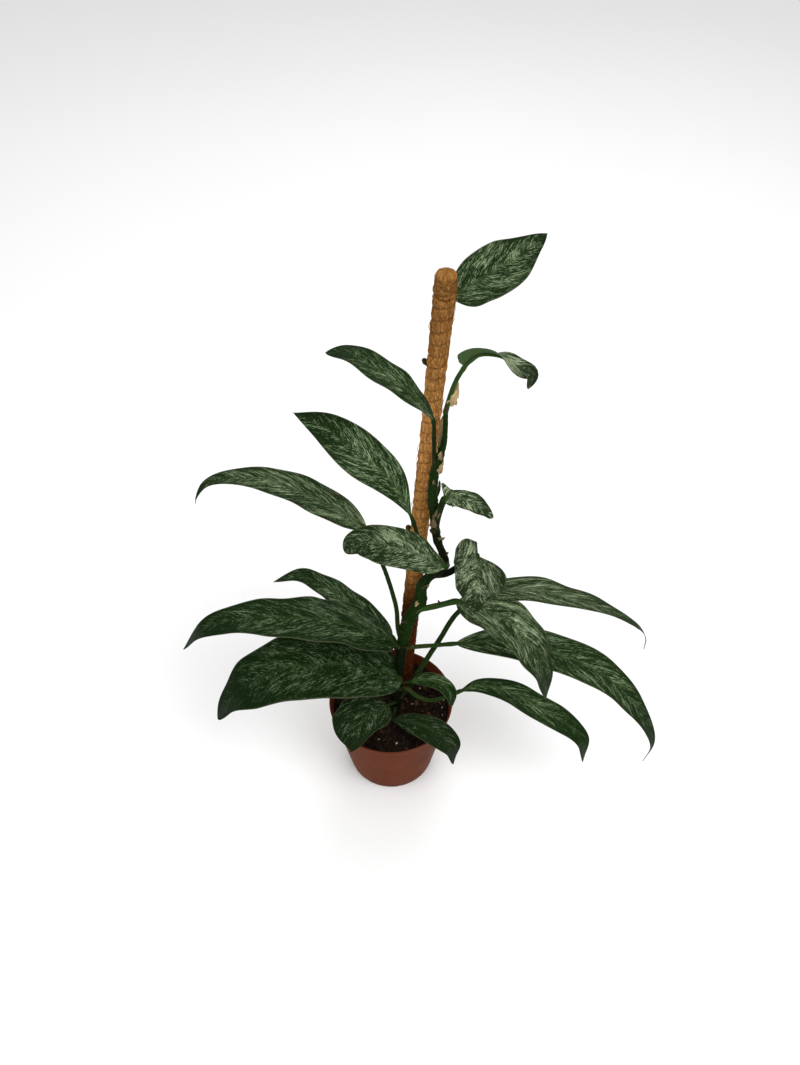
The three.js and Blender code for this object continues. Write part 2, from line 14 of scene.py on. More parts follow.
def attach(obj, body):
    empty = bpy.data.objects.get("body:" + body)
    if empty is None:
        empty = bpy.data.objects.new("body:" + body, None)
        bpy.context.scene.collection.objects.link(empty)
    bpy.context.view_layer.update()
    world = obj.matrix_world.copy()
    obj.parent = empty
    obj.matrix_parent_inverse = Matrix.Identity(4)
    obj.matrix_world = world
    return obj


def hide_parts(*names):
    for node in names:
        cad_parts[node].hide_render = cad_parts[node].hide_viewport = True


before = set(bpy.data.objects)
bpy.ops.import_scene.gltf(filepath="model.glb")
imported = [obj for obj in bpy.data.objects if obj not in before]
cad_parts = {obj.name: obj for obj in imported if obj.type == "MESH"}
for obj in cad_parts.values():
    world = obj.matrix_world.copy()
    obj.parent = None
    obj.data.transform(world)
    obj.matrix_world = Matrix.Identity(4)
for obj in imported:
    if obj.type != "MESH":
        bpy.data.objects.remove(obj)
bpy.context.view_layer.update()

MM = 0.001
BODY = "root"
NEARLY_NOTHING = 1e-9

# Pot
POT_HEIGHT = 119
POT_RIM_RADIUS = 74.5
POT_BASE_RADIUS = 52
POT_WALL = 1.5
POT_FLOOR = 2
RIM_LIP_HEIGHT = 7
RIM_LIP_OUT = 0.7
DRAIN_COUNT = 6
DRAIN_RADIUS = 5
DRAIN_CIRCLE_RADIUS = 40

# Soil
SOIL_LEVEL = 105
SOIL_LUMP = 2.2
FIT_GAP = 0.35

# Coir pole
POLE_FOOT = (14, 30, 103)
POLE_TOP = (51, 60, 671)
SLEEVE_BELOW_SOIL = 40
SLEEVE_RADIUS_LOW = 10
SLEEVE_RADIUS_MIDDLE = 9
SLEEVE_RADIUS_CAP = 10
CAP_LENGTH = 22
CAP_SHOULDER_LENGTH = 90
WAIST_SHARE = 0.7
THREAD_SPACING = 12.4

# Coir: pillows between the turns of the thread, lumps and strands, grooves, neck and rounded cap,
# then the thread, the loose fibres and the strands over the cap
PILLOW_HEIGHT = 0.7
LUMP_HEIGHT = 0.45
STRAND_HEIGHT = 0.4
GROOVE_CUT = 0.5
NECK_CUT = 1.7
CAP_ROUND = 4
CAP_RING_SHARES = (0.85, 0.65, 0.45, 0.22)
CAP_CROWN = 0.4
CAP_CROWDING = 0.35
PILLOW_POWER = 0.6
LUMP_LENGTH = 9
LUMPS_AROUND = 1.6
STRAND_LENGTH = 7
STRANDS_AROUND = 11
GROOVE_SHARE = 0.075
GROOVE_SHADE = 0.8
NECK_WAVE = 1.5
NECK_REACH = 1.1
NECK_SHADE = 1.5
NECK_RINGS = (-0.35, 0.45)
COIR_STEP = 0.85
COIR_SIDES = 88
THREAD_RADIUS = 0.32
THREAD_SIDES = 6
THREAD_FROM = 3
THREAD_STEPS_PER_TURN = 40
THREAD_SHADE = 0.25
FIBRE_DRAW = 11
FIBRE_COUNT = 1300
FIBRE_POINTS = 9
FIBRE_RADIUS = 0.24
FIBRE_SIDES = 4
FIBRE_STEP = 2.4
FIBRE_LENGTHS = (7, 24)
FIBRE_TURN = 0.16
FIBRE_LIFTED_SHARE = 0.22
FIBRE_LIFTS = (0.6, 1.9)
FIBRE_LOW_LIFTS = (0.05, 0.35)
FIBRE_THICKNESSES = (0.7, 1.3)
CAP_STRAND_DRAW = 13
CAP_STRAND_COUNT = 110
CAP_STRAND_STEP = 1.8
CAP_STRAND_RISE = 5
CAP_STRAND_TURNS = (0.3, 1.1)
CAP_STRAND_LIFTS = (0.05, 0.5)
CAP_STRAND_THICKNESSES = (0.8, 1.3)
CAP_STRAND_DARKEST = 1.4

# Blades: thinner at the margin, with a groove over the midrib, low side veins and slow swells
BLADE_CELL = 1.7
BLADE_CELLS_ACROSS = 40
BLADE_ROWS_LEAST = 16
BLADE_END_CROWDING = 0.13
MIDDLE_CROWDING = 1.35
BLADE_MIDDLE = 0.75
BLADE_MARGIN = 0.35
BLADE_HALF_LEAST = 0.3
WAVE_SLANT = 1.2
GROOVE_DEPTH = 0.7
GROOVE_HALF_WIDTH = 1.2
GROOVE_FROM_SHARE = 0.06
GROOVE_FADE = 0.6
VEIN_SPACING = 6.5
VEIN_DEPTH = 0.14
VEIN_SHARPNESS = 8
VEIN_BEND = 0.45
VEIN_WANDER = 2.2
VEIN_WANDER_LENGTH = 30
VEIN_WANDER_WIDTH = 18
VEIN_CLEAR_OF_MIDRIB = (0.5, 4)
VEIN_EDGE_POWER = 6
SWELL_HEIGHT = 0.45
SWELL_SIZE = 24
SWELL_FROM_MIDRIB = 5
CREASE_HEIGHT = 0.4
CREASE_SIZE = 9
EDGE_CRUMPLE = 0.035
EDGE_CRUMPLE_SIZE = 7
EDGE_TEAR_SIZE = 2.5
EDGE_NOISE_APART = 5
RIPPLE_HEIGHT = 0.35
RIPPLE_SIZE = 13
RIPPLE_NOISE_APART = 3
RIPPLE_EDGE_POWER = 4
PLAIN_EDGES = [(0, 1, 1), (1, 1, 1)]
LOBE_SHARE = 0.3
LOBE_POWER = 1.5

# Stalks: under the blade they run on as its midrib
MIDRIB_SHARES = (0, 0.06, 0.12, 0.21, 0.3, 0.4, 0.5, 0.6, 0.7, 0.78, 0.85)
MIDRIB_SLIMMING = 0.7
MIDRIB_BELOW_BASE = 1.1
MIDRIB_BELOW_GROOVE = 0.8
MIDRIB_TIP_RADIUS = 0.5
MIDRIB_DIMMING = 0.7
MIDRIB_SINKING = 0.12
MIDRIB_NARROWING = 0.06
PETIOLE_SIDES = 14
PETIOLE_STEP = 2.6
PETIOLE_UNEVENNESS = 0.05
PETIOLE_TAPER = 0.87
PETIOLE_JOINT = 0.16
PETIOLE_JOINT_REACH = 0.02
PETIOLE_FLARE = 0.12
PETIOLE_FLARE_REACH = 0.06
BROWN_FOOT_SHARE = 0.3
UNDER_BLADE_SPAN = (-0.03, 0.06)
BELOW_SPAN = (0.05, 0.22)

# Dry sheaths and torn flakes of skin
SHEATH_CELL = 0.9
SHEATH_CELLS_ACROSS = 14
SHEATH_RAGGED = 0.25
FLAKE_CELL = 0.6
FLAKE_CELLS_ACROSS = 10
FLAKE_RAGGED = 0.5
FLAKE_SAG = 0.06
FLAKE_SEAT = 0.8

# The first noise seeds, and the steps between the seeds of like pieces
SHEATH_FIRST_SEED = 200
FLAKE_FIRST_SEED = 300
BLADE_SEED = 7.3
PETIOLE_SEED = 3.1
SHEATH_SEED = 9.7
STEM_SEED = 5.3
ROOTLET_SEED = 9.1
FLAKE_SEED = 3.7
FIBRE_SEED = 1.7
CAP_STRAND_SEED = 2.3
LUMP_SEED = 0.37

# Stems: swollen nodes with ring scars
UNEVENNESS_SIZE = 2.5
STEM_SIDES = 24
STEM_STEP = 1.6
NODE_SWELL = 0.8
NODE_REACH = 4.5
RING_DEPTH = 0.5
RING_REACH = 0.9
SCAR_REACH = 3.0
BLACKENED = [(60, 220), (322, 388)]
BLACKENED_FADE = 12
STEM_UNEVENNESS = 0.1
STEM_END_SHARE = 0.99
STEM_END_CLOSING = 0.7
ROOTLET_SIDES = 12
ROOTLET_STEP = 1.5
ROOTLET_UNEVENNESS = 0.16
ROOTLET_SCAR = 0.4
ROOTLET_TIP = 0.35
ROOTLET_ROUND = 0.12

# Soil surface and what lies on it
SOIL_RINGS = 62
SOIL_SIDES = 180
SOIL_CRUMBLE = [(0.9, 4.5, 21), (0.6, 1.9, 22)]
SOIL_FOOT_BEVEL = 2
SOIL_FOOT_INSET = 2.2
SOIL_TOP_INSET = 0.6
SOIL_SIDE_BELOW_TOP = 3
SOIL_FIBRE_DRAW = 31
SOIL_FIBRE_COUNT = 70
SOIL_FIBRE_SIDES = 5
SOIL_FIBRE_STEP = 1.6
SOIL_FIBRE_BEND = 3
SOIL_FIBRE_LENGTHS = (7, 20)
SOIL_FIBRE_THICKNESSES = (0.15, 0.45)
SOIL_FIBRE_FROM_EDGE = 12
LUMP_FROM_EDGE = 2.5
LUMP_WIDTHS = (0.55, 0.9)
LUMP_TILT = 0.5
LUMP_TURN = 6.3
LUMP_SINK = 0.3
SOIL_STOPS = [(0.35, (0.0035, 0.0022, 0.0014)), (0.55, (0.012, 0.007, 0.004)), (0.75, (0.035, 0.019, 0.010))]
BARK_STOPS = [(0.35, (0.010, 0.005, 0.003)), (0.55, (0.045, 0.020, 0.010)), (0.75, (0.13, 0.062, 0.030))]
PERLITE_STOPS = [(0.3, (0.14, 0.115, 0.070)), (0.7, (0.42, 0.37, 0.27))]
PERLITE_SPOTS = [(26, 1), (60, 3), (62, -4), (62, -14), (9, -52), (7, -53), (-14, -48), (52, -22)]

# Lumps on the soil: piece, material, count, seed, sizes, flatness, bumpiness and given spots
LUMPS = [
    ("soil_crumbs", "soil", 700, 41, (0.7, 2.6), (0.5, 0.9), 0.5, []),
    ("bark_chips", "bark", 90, 43, (1.6, 4.6), (0.25, 0.5), 0.35, []),
    ("perlite_grains", "perlite", 14, 47, (0.7, 1.6), (0.6, 0.9), 0.4, PERLITE_SPOTS),
]

# Colours of stalks, stems, coir, pot, dry skin and stick, at their places in a noise from 0 to 1
PETIOLE_STOPS = [(0.25, (0.006, 0.018, 0.003)), (0.55, (0.016, 0.038, 0.007)), (0.8, (0.036, 0.062, 0.017))]
STEM_STOPS = [(0.25, (0.003, 0.010, 0.001)), (0.55, (0.008, 0.024, 0.003)), (0.85, (0.022, 0.045, 0.010))]
CORK_STOPS = [(0.3, (0.010, 0.006, 0.004)), (0.6, (0.045, 0.024, 0.013)), (0.8, (0.14, 0.080, 0.050))]
COIR_STOPS = [
    (0.38, (0.120, 0.040, 0.009)), (0.47, (0.37, 0.160, 0.034)), (0.60, (0.74, 0.39, 0.135)),
]
# Colours of the lower sleeve, darker and redder than above
LOW_COIR_STOPS = [
    (0.30, (0.016, 0.005, 0.002)), (0.50, (0.078, 0.019, 0.005)), (0.68, (0.18, 0.050, 0.012)),
]
POT_STOPS = [(0.3, (0.100, 0.024, 0.009)), (0.7, (0.125, 0.031, 0.012))]
SKIN_STOPS = [(0.3, (0.12, 0.080, 0.036)), (0.55, (0.25, 0.185, 0.095)), (0.8, (0.40, 0.32, 0.19))]
STICK_STOPS = [(0.3, (0.25, 0.15, 0.075)), (0.7, (0.50, 0.35, 0.19))]

# The green under the blades, and the two greys of the floor
UNDER_GREEN = (0.030, 0.062, 0.014)
FLOOR_GREYS = ((0.86, 0.86, 0.86), (0.89, 0.89, 0.89))

# Pot mesh: its foot stands on a band round a shallow hollow
POT_SIDES = 160
POT_EDGE_ROUND = 1.5
FOOT_BAND = 5
FOOT_HOLLOW = 0.6
RIM_STEP_BELOW = 0.4
WALL_RINGS_OUT = 16
WALL_RINGS_IN = 10
DRAIN_SIDES = 32

# The photo's frame in pixels, and the pinhole camera that fits it
PHOTO_HEIGHT = 1065
FOCAL_PIXELS = 1000
SENSOR = 36
CAMERA_PLACE = (0.011, -0.684, 1.135)
CAMERA_DOWN = 46.6

# Floor and lamps, in metres and watts: name, place, diameter, power
FLOOR_REACH = 4
FLOOR_LEVEL = -0.0002
WORLD_STRENGTH = 0.75
LAMP_AIM = (0.03, 0.0, 0.3)
LAMPS = [
    ("key_lamp", (0.9, -0.9, 2.1), 1.4, 26),
    ("fill_lamp", (-1.3, -1.0, 1.5), 1.6, 10),
    ("back_lamp", (0.2, 1.5, 1.9), 1.4, 12),
]

# Stems that stand in the soil: centre line, then the radius at each of its points
STEMS = {
    "vine_front": {
        "line": [
            (6, -1, 54), (7, 0, 104), (10, 5, 150), (12, 9, 197), (21, 14, 255), (33, 17, 283),
            (35, 18, 308), (44, 19, 325), (58, 21, 336), (57, 23, 351), (50, 27, 372),
            (44, 31, 426), (45, 32, 464), (53, 32, 504), (53, 31, 548),
        ],
        "radii": (5, 5.5, 5, 5, 6, 7, 7, 6, 4.5, 4, 4.4, 5, 4.4, 2.5, 2.3),
    },
    "vine_back": {
        "line": [
            (15, 50, 54), (16, 50, 107), (24, 58, 242), (34, 67, 392), (41, 71, 492),
            (46, 74, 552), (50, 78, 608),
        ],
        "radii": (4, 4, 3.8, 3.6, 3.4, 3.4, 3),
    },
}

# Short aerial roots and shoot tips, each grown from one of the stems
ROOTLETS = [
    ("vine_back", [(45, 73, 546), (40, 69, 562), (32, 62, 578)], (2.4, 2.4, 3)),
    ("vine_back", [(30, 63, 340), (22, 54, 360), (19, 42, 376)], (2, 2.4, 3.2)),
    ("vine_front", [(44, 31, 424), (50, 38, 432), (51, 46, 440)], (2, 1.6, 1)),
    ("vine_front", [(33, 18, 300), (38, 26, 306), (40, 33, 316)], (2.2, 1.8, 1.2)),
    ("vine_front", [(12, 9, 197), (4, 14, 206), (-1, 24, 212)], (2.2, 1.8, 1.2)),
]

# Heights of the ring-shaped scars on each stem
SCARS = {
    "vine_front": (112, 146, 190, 210, 240, 256, 286, 312, 330, 344, 372, 384, 424),
    "vine_back": (150, 205, 262, 318, 372, 428, 486, 546, 598),
}

# Torn flakes of dry skin: the stem or stalk they grow on, height, the side they sit on, length,
# width, direction, lightness, and material (0 papery, 1 corky)
FLAKES = [
    ("vine_front", 450, (0.2, -1, 0), 8, 3, (-0.1, -0.2, 1), 0.6, 0),
    ("vine_front", 464, (0.6, -0.8, 0), 15, 5, (0.3, -0.1, 1), 1.4, 0),
    ("vine_front", 482, (0.1, -1, 0), 13, 5, (0.1, -0.1, 1), 1.0, 0),
    ("vine_front", 376, (0.3, -1, 0), 10, 5, (0.6, -0.3, 0.5), 0.8, 0),
    ("vine_front", 386, (-0.5, -0.9, 0), 8, 4, (-0.5, -0.4, 0.7), 1, 1),
    ("vine_front", 356, (0.5, -0.9, 0), 8, 4, (0.5, -0.3, 0.7), 1, 1),
    ("vine_front", 312, (0.5, -0.9, 0), 8, 5, (0.3, -0.4, 0.8), 0.6, 0),
    ("vine_front", 291, (-0.3, -1, 0), 9, 5, (-0.5, -0.3, -0.7), 1.2, 0),
    ("vine_front", 256, (-0.6, -0.8, 0), 9, 4, (-0.6, -0.3, 0.6), 1, 1),
    ("vine_front", 214, (0.4, -0.9, 0), 9, 4, (0.3, -0.4, 0.8), 1, 1),
    ("leaf_07", 386, (-0.9, -0.4, 0), 22, 7, (0.05, -0.15, 1), 0.6, 0),
    ("leaf_07", 404, (-0.9, -0.4, 0), 20, 6, (0.2, -0.2, 1), 0.6, 0),
    ("leaf_09", 282, (0, -0.3, 1), 12, 5, (0.8, -0.2, 0.35), 0.4, 0),
    ("leaf_09", 289, (0, -0.3, 1), 8, 3, (-0.4, -0.1, 0.8), 1, 1),
    ("leaf_11", 212, (0, -0.5, 1), 18, 3.5, (1, -0.1, 0.25), 0.6, 0),
    ("leaf_02", 550, (0.8, -0.6, 0), 22, 8, (0.35, -0.1, 1), 1.8, 0),
    ("vine_back", 356, (-0.6, -0.8, 0), 9, 5, (-0.7, -0.3, 0.5), 1, 1),
]

# Each leaf: petiole line from inside its stem, midrib line, the way its upper face looks at base
# and tip, greatest width, the two powers of its outline, fold of the halves in degrees, margin
# waves as height, count and phase. Its looks: how densely it is flecked, how grey it is (partly its
# own greyish green, partly a painted sheen) and how light it is, how steeply its side veins run on
# towards the tip, how puckered it is between them, and how light its stalk is. Some have edges,
# which widen the left and the right side at shares of the midrib, and lobes, which run back past
# its foot by so much on the left and on the right.
LEAVES = {
    "leaf_01": {
        "petiole": [(49, 77, 598), (51, 79, 614)],
        "petiole_radius": 2.2,
        "rib": [(56, 80, 632), (86, 98, 641), (114, 113, 651), (144, 132, 665)],
        "face": [(0.1, -0.6, 0.8), (-0.2, -0.5, 0.8)],
        "width": 50, "outline": (0.75, 0.95), "fold": 4, "waves": (1, 2.5, 0),
        "looks": (0.8, 0.45, 0.66, 1.3, 1, 0.7),
        "edges": [(0, 1, 1.5), (0.28, 1, 1), (0.6, 1, 1), (0.85, 0.95, 0.85), (1, 1, 1)],
    },
    "leaf_02": {
        "petiole": [(53, 31, 540), (56, 28, 560), (61, 25, 582)],
        "petiole_radius": 2.4,
        "rib": [
            (67, 22, 600), (72, 19, 611), (78, 16, 618), (88, 13, 621), (99, 10, 620), (111, 4, 614),
            (124, -1, 609), (121, -5, 596),
        ],
        "face": [(-0.4, 0.8, 0.1), (0.6, -0.6, 0.5)],
        "width": 26, "outline": (0.45, 0.6), "fold": 6, "waves": (1, 2, 0),
        "looks": (0.8, 1.0, 1.05, 2.0, 1, 1.6),
        "edges": [
            (0, 1, 0.5), (0.07, 1, 1.1), (0.16, 1, 1.45), (0.34, 1, 1), (0.5, 1, 1), (0.75, 0.75, 1),
            (1, 1, 1),
        ],
    },
    "leaf_03": {
        "petiole": [(45, 30, 462), (44, 29, 482), (43, 26, 511)],
        "petiole_radius": 2.2,
        "rib": [
            (42, 22, 541), (32, 21, 558), (16, 20, 577), (-13, 23, 599), (-36, 26, 611), (-54, 28, 610),
        ],
        "face": [(0.3, -0.1, 0.9), (0, 0, 1)],
        "width": 38, "outline": (0.7, 0.7), "fold": 4, "waves": (1, 3, 1),
        "looks": (0.62, 0.4, 0.76, 1.8, 1, 0.5),
    },
    "leaf_04": {
        "petiole": [(42, 19, 322), (37, 17, 342), (33, 20, 367)],
        "petiole_radius": 2.4,
        "rib": [(24, 25, 405), (9, 26, 445), (-4, 28, 465), (-22, 32, 481), (-59, 48, 506), (-92, 60, 516)],
        "face": [(0.3, -0.7, 0.6), (0, -0.6, 0.8)],
        "width": 44, "outline": (1.4, 1.1), "fold": 4, "waves": (1, 3.5, 0),
        "looks": (0.74, 0.42, 0.9, 1.6, 1, 0.6),
    },
    "leaf_05": {
        "petiole": [(14, 10, 214), (9, 14, 236), (7, 16, 272), (2, 20, 298), (-7, 25, 333)],
        "petiole_radius": 2.6,
        "rib": [
            (-24, 30, 387), (-42, 30, 405), (-69, 27, 430), (-100, 19, 458), (-132, 10, 477),
            (-159, 2, 484), (-173, -6, 483), (-181, -13, 473), (-182, -16, 468),
        ],
        "face": [(0.2, -0.3, 0.9), (0, -0.2, 0.95)],
        "width": 38, "outline": (0.6, 1.2), "fold": 4, "waves": (1, 4, 0.5),
        "looks": (0.7, 0.65, 0.86, 2.4, 1, 0.75),
    },
    "leaf_06": {
        "petiole": [(58, 22, 342), (61, 10, 352)],
        "petiole_radius": 2.4,
        "rib": [
            (58, -5, 365), (43, -8, 376), (18, -14, 401), (-2, -17, 411), (-20, -20, 419),
            (-34, -24, 421), (-43, -28, 413),
        ],
        "face": [(0.2, -0.7, 0.7), (-0.2, -0.5, 0.8)],
        "width": 40, "outline": (0.65, 0.55), "fold": 0, "waves": (1.5, 3, 0),
        "looks": (0.86, 0.7, 0.86, 1.4, 1, 0.6),
    },
    "leaf_07": {
        "petiole": [(47, 28, 384), (49, 26, 407)],
        "petiole_radius": 4,
        "rib": [(55, 20, 439), (63, 16, 447), (72, 11, 448), (82, 5, 446), (93, 0, 441), (102, -4, 437)],
        "face": [(-0.1, -0.6, 0.7), (0.3, -0.5, 0.8)],
        "width": 24, "outline": (0.3, 0.6), "fold": 0, "waves": (0.6, 3.5, 0),
        "looks": (0.8, 0.8, 1.18, 1.4, 2.4, 0.6),
        "edges": [
            (0, 1.7, 1), (0.07, 1.7, 1), (0.2, 0.5, 1), (0.4, 0.78, 0.76), (0.6, 1.14, 0.7),
            (0.85, 1.2, 0.6), (1, 1, 1),
        ],
    },
    "leaf_08": {
        "petiole": [(46, 19, 326), (60, 23, 323), (74, 28, 328)],
        "petiole_radius": 4,
        "rib": [(94, 28, 346), (94, 12, 344), (91, -10, 342), (88, -32, 343), (86, -46, 343)],
        "face": [(0.6, 0, 0.8), (0.1, -0.3, 0.9)],
        "width": 62, "outline": (0.3, 0.8), "fold": 0, "waves": (3, 2, 0.2),
        "looks": (0.78, 0.9, 0.76, 1.0, 2.6, 0.22),
        "edges": [(0, 1, 1), (0.3, 1.12, 0.97), (0.6, 0.85, 0.93), (0.8, 0.65, 0.95), (1, 1, 1)],
        "lobes": (0, 18),
    },
    "leaf_09": {
        "petiole": [(21, 14, 256), (32, 12, 275), (45, 10, 282), (59, 7, 291)],
        "petiole_radius": 3.6,
        "rib": [
            (73, 5, 299), (106, -15, 306), (131, -32, 303), (151, -48, 285), (165, -62, 257),
            (168, -75, 230),
        ],
        "face": [(0.2, -0.2, 0.9), (0.7, -0.3, 0.5)],
        "width": 56, "outline": (0.55, 0.75), "fold": 2, "waves": (2, 4, 0),
        "looks": (0.67, 0.72, 0.98, 2.0, 1.2, 1.6),
    },
    "leaf_10": {
        "petiole": [(8, 1, 118), (19, 4, 132), (38, 6, 181), (56, 11, 222), (75, 15, 266)],
        "petiole_radius": 3.2,
        "rib": [
            (106, 21, 296), (137, 19, 302), (160, 16, 305), (191, 10, 300), (226, 4, 293), (259, -4, 278),
            (275, -9, 267), (282, -12, 254), (282, -15, 239),
        ],
        "face": [(-0.2, -0.3, 0.9), (0.5, 0.2, 0.75)],
        "width": 31, "outline": (0.42, 1.3), "fold": 3, "waves": (1, 4, 0.3),
        "looks": (0.5, 0.95, 1.16, 3.6, 0.6, 0.8),
    },
    "leaf_11": {
        "petiole": [(12, 9, 208), (28, 7, 214), (50, 3, 222)],
        "petiole_radius": 2.6,
        "rib": [
            (74, 0, 230), (122, -8, 243), (171, -20, 245), (233, -40, 229), (269, -55, 196),
            (291, -70, 165), (298, -78, 142), (291, -84, 117),
        ],
        "face": [(-0.2, -0.2, 0.9), (0.8, -0.5, 0.4)],
        "width": 43, "outline": (0.65, 1.05), "fold": 3, "waves": (1.2, 5, 0),
        "looks": (0.58, 0.5, 0.9, 2.6, 0.8, 1.1),
    },
    "leaf_12": {
        "petiole": [(9, 3, 134), (19, -4, 147), (31, -11, 141), (46, -16, 140), (63, -18, 149)],
        "petiole_radius": 2.6,
        "rib": [
            (81, -17, 161), (100, -21, 177), (120, -26, 181), (142, -33, 179), (168, -43, 167),
            (194, -52, 155), (211, -60, 145), (222, -68, 133), (225, -75, 100),
        ],
        "face": [(-0.3, -0.3, 0.9), (0.7, -0.5, 0.5)],
        "width": 30, "outline": (0.8, 0.75), "fold": 2, "waves": (1.2, 4, 0),
        "looks": (0.38, 0.4, 1, 3.0, 0.8, 1.1),
    },
    "leaf_13": {
        "petiole": [(9, 4, 140), (14, 2, 150)],
        "petiole_radius": 1.8,
        "rib": [
            (25, -2, 158), (38, -8, 171), (50, -15, 179), (62, -23, 180), (70, -30, 172), (71, -36, 157),
        ],
        "face": [(0, -0.5, 0.8), (0.6, -0.5, 0.6)],
        "width": 18, "outline": (0.6, 0.5), "fold": 3, "waves": (1, 2, 0),
        "looks": (0.48, 0.3, 1.12, 2.4, 1, 0.8),
    },
    "leaf_14": {
        "petiole": [(7, 0, 112), (3, -8, 122)],
        "petiole_radius": 2,
        "rib": [(-4, -16, 129), (-24, -34, 137), (-38, -56, 138), (-46, -74, 120)],
        "face": [(-0.1, -0.3, 0.9), (-0.3, -0.5, 0.7)],
        "width": 56, "outline": (0.42, 0.9), "fold": 2, "waves": (1, 2.5, 0),
        "looks": (0.52, 0.5, 0.55, 1.4, 1, 0.7),
        "edges": [
            (0, 0.8, 0.8), (0.25, 0.8, 1.05), (0.5, 0.8, 1.35), (0.7, 0.85, 1.75), (0.9, 1, 2), (1, 1, 1),
        ],
    },
    "leaf_15": {
        "petiole": [(7, 0, 108), (4, -12, 108)],
        "petiole_radius": 2,
        "rib": [(1, -25, 113), (25, -40, 131), (51, -55, 135), (69, -66, 124), (74, -72, 90)],
        "face": [(0, -0.4, 0.9), (0.7, -0.5, 0.5)],
        "width": 33, "outline": (0.85, 0.72), "fold": 2, "waves": (2, 3, 0),
        "looks": (0.46, 0.5, 0.52, 2.0, 1, 0.6),
        "edges": [(0, 0.8, 1), (0.4, 0.85, 1), (0.65, 1, 1), (0.88, 1, 0.6), (1, 1, 0.7)],
    },
    "leaf_16": {
        "petiole": [(13, 10, 204), (10, 7, 214)],
        "petiole_radius": 3,
        "rib": [
            (4, 5, 225), (-6, 4, 237), (-26, 3, 250), (-51, 1, 266), (-81, -3, 278), (-113, -6, 284),
            (-144, -9, 289), (-175, -13, 288), (-204, -19, 279), (-227, -23, 249),
        ],
        "face": [(0.1, 0, 1), (-0.3, 0, 0.95)],
        "width": 62, "outline": (0.38, 0.85), "fold": 0, "waves": (1.5, 5, 0),
        "looks": (0.64, 0.22, 0.49, 1.8, 1, 0.7),
    },
    "leaf_17": {
        "petiole": [(10, 5, 146), (8, 2, 154)],
        "petiole_radius": 3,
        "rib": [
            (13, -2, 160), (-4, -5, 179), (-23, -8, 192), (-61, -16, 211), (-104, -25, 220),
            (-133, -31, 216), (-165, -38, 201), (-185, -42, 179), (-200, -46, 146),
        ],
        "face": [(0.1, -0.3, 0.95), (-0.4, -0.3, 0.8)],
        "width": 79, "outline": (0.45, 0.62), "fold": 0, "waves": (1.5, 5, 0.4),
        "looks": (0.62, 0.12, 0.42, 1.4, 1, 0.8),
        "edges": [(0, 1, 1), (0.5, 1, 1.05), (0.72, 1, 0.95), (0.9, 0.7, 0.62), (1, 0.7, 0.7)],
    },
    "leaf_18": {
        "petiole": [(12, 9, 190), (9, 22, 192)],
        "petiole_radius": 2.4,
        "rib": [
            (2, 34, 200), (-22, 45, 217), (-52, 54, 240), (-79, 58, 264), (-103, 58, 280),
            (-133, 55, 272),
        ],
        "face": [(0.1, 0, 1), (-0.1, 0, 1)],
        "width": 39, "outline": (0.6, 0.95), "fold": 2, "waves": (1, 4, 0),
        "looks": (0.66, 0.35, 0.85, 1.8, 1, 0.7),
    },
}

# Dry papery sheaths that stand beside the stem and petioles, in the same terms as a blade
SHEATHS = {
    "dry_sheath_upper": {
        "light": 1.5,
        "rib": [(50, 36, 458), (50, 38, 490), (51, 38, 530)],
        "face": [(0.2, -0.9, 0.3), (0.2, -0.9, 0.3)],
        "width": 9,
        "outline": (0.4, 0.5),
        "fold": 30,
        "waves": (0.6, 3, 0),
    },
    "dry_sheath_tip": {
        "light": 1.9,
        "rib": [(58, 33, 548), (60, 33, 562), (62, 32, 578)],
        "face": [(0.4, -0.8, 0.3), (0.4, -0.8, 0.3)],
        "width": 8,
        "outline": (0.4, 0.5),
        "fold": 30,
        "waves": (0.4, 2, 0),
    },
}

PLANT_FRONT = np.array([0.0, -1.0, 0.0])


def smooth_step(low, high, value):
    """0 below low, 1 above high, and an even bend between them."""
    share = np.clip((value - low) / (high - low), 0, 1)
    return share * share * (3 - 2 * share)


def unit(vectors):
    """Vectors of length one."""
    return vectors / np.maximum(np.linalg.norm(vectors, axis=-1, keepdims=True), NEARLY_NOTHING)


def lattice_value(cells, seed):
    """A repeatable random value from 0 to 1 for each whole-number cell."""
    wave = np.sin(cells @ np.array([127.1, 311.7, 74.7]) + seed * 53.31) * 43758.5453
    return wave - np.floor(wave)


def value_noise(places, seed):
    """Smooth noise from -1 to 1 with features about one unit wide."""
    base = np.floor(places)
    inside = places - base
    inside = inside * inside * (3 - 2 * inside)
    total = np.zeros(places.shape[:-1])
    for corner in np.ndindex(2, 2, 2):
        offset = np.array(corner, dtype=float)
        weight = np.prod(np.where(offset == 1, inside, 1 - inside), axis=-1)
        total += weight * lattice_value(base + offset, seed)
    return 2 * total - 1


def stack(*columns):
    """Columns of numbers as one array of points."""
    return np.stack(np.broadcast_arrays(*columns), axis=-1).astype(float)


def full_turn(sides):
    """The angles of the corners of a ring with so many sides."""
    return 2 * np.pi * np.arange(sides) / sides


def put_in_scene(name, data):
    """A new object with the given mesh, lamp or camera."""
    thing = bpy.data.objects.new(name, data)
    bpy.context.scene.collection.objects.link(thing)
    return thing


# Curves and frames

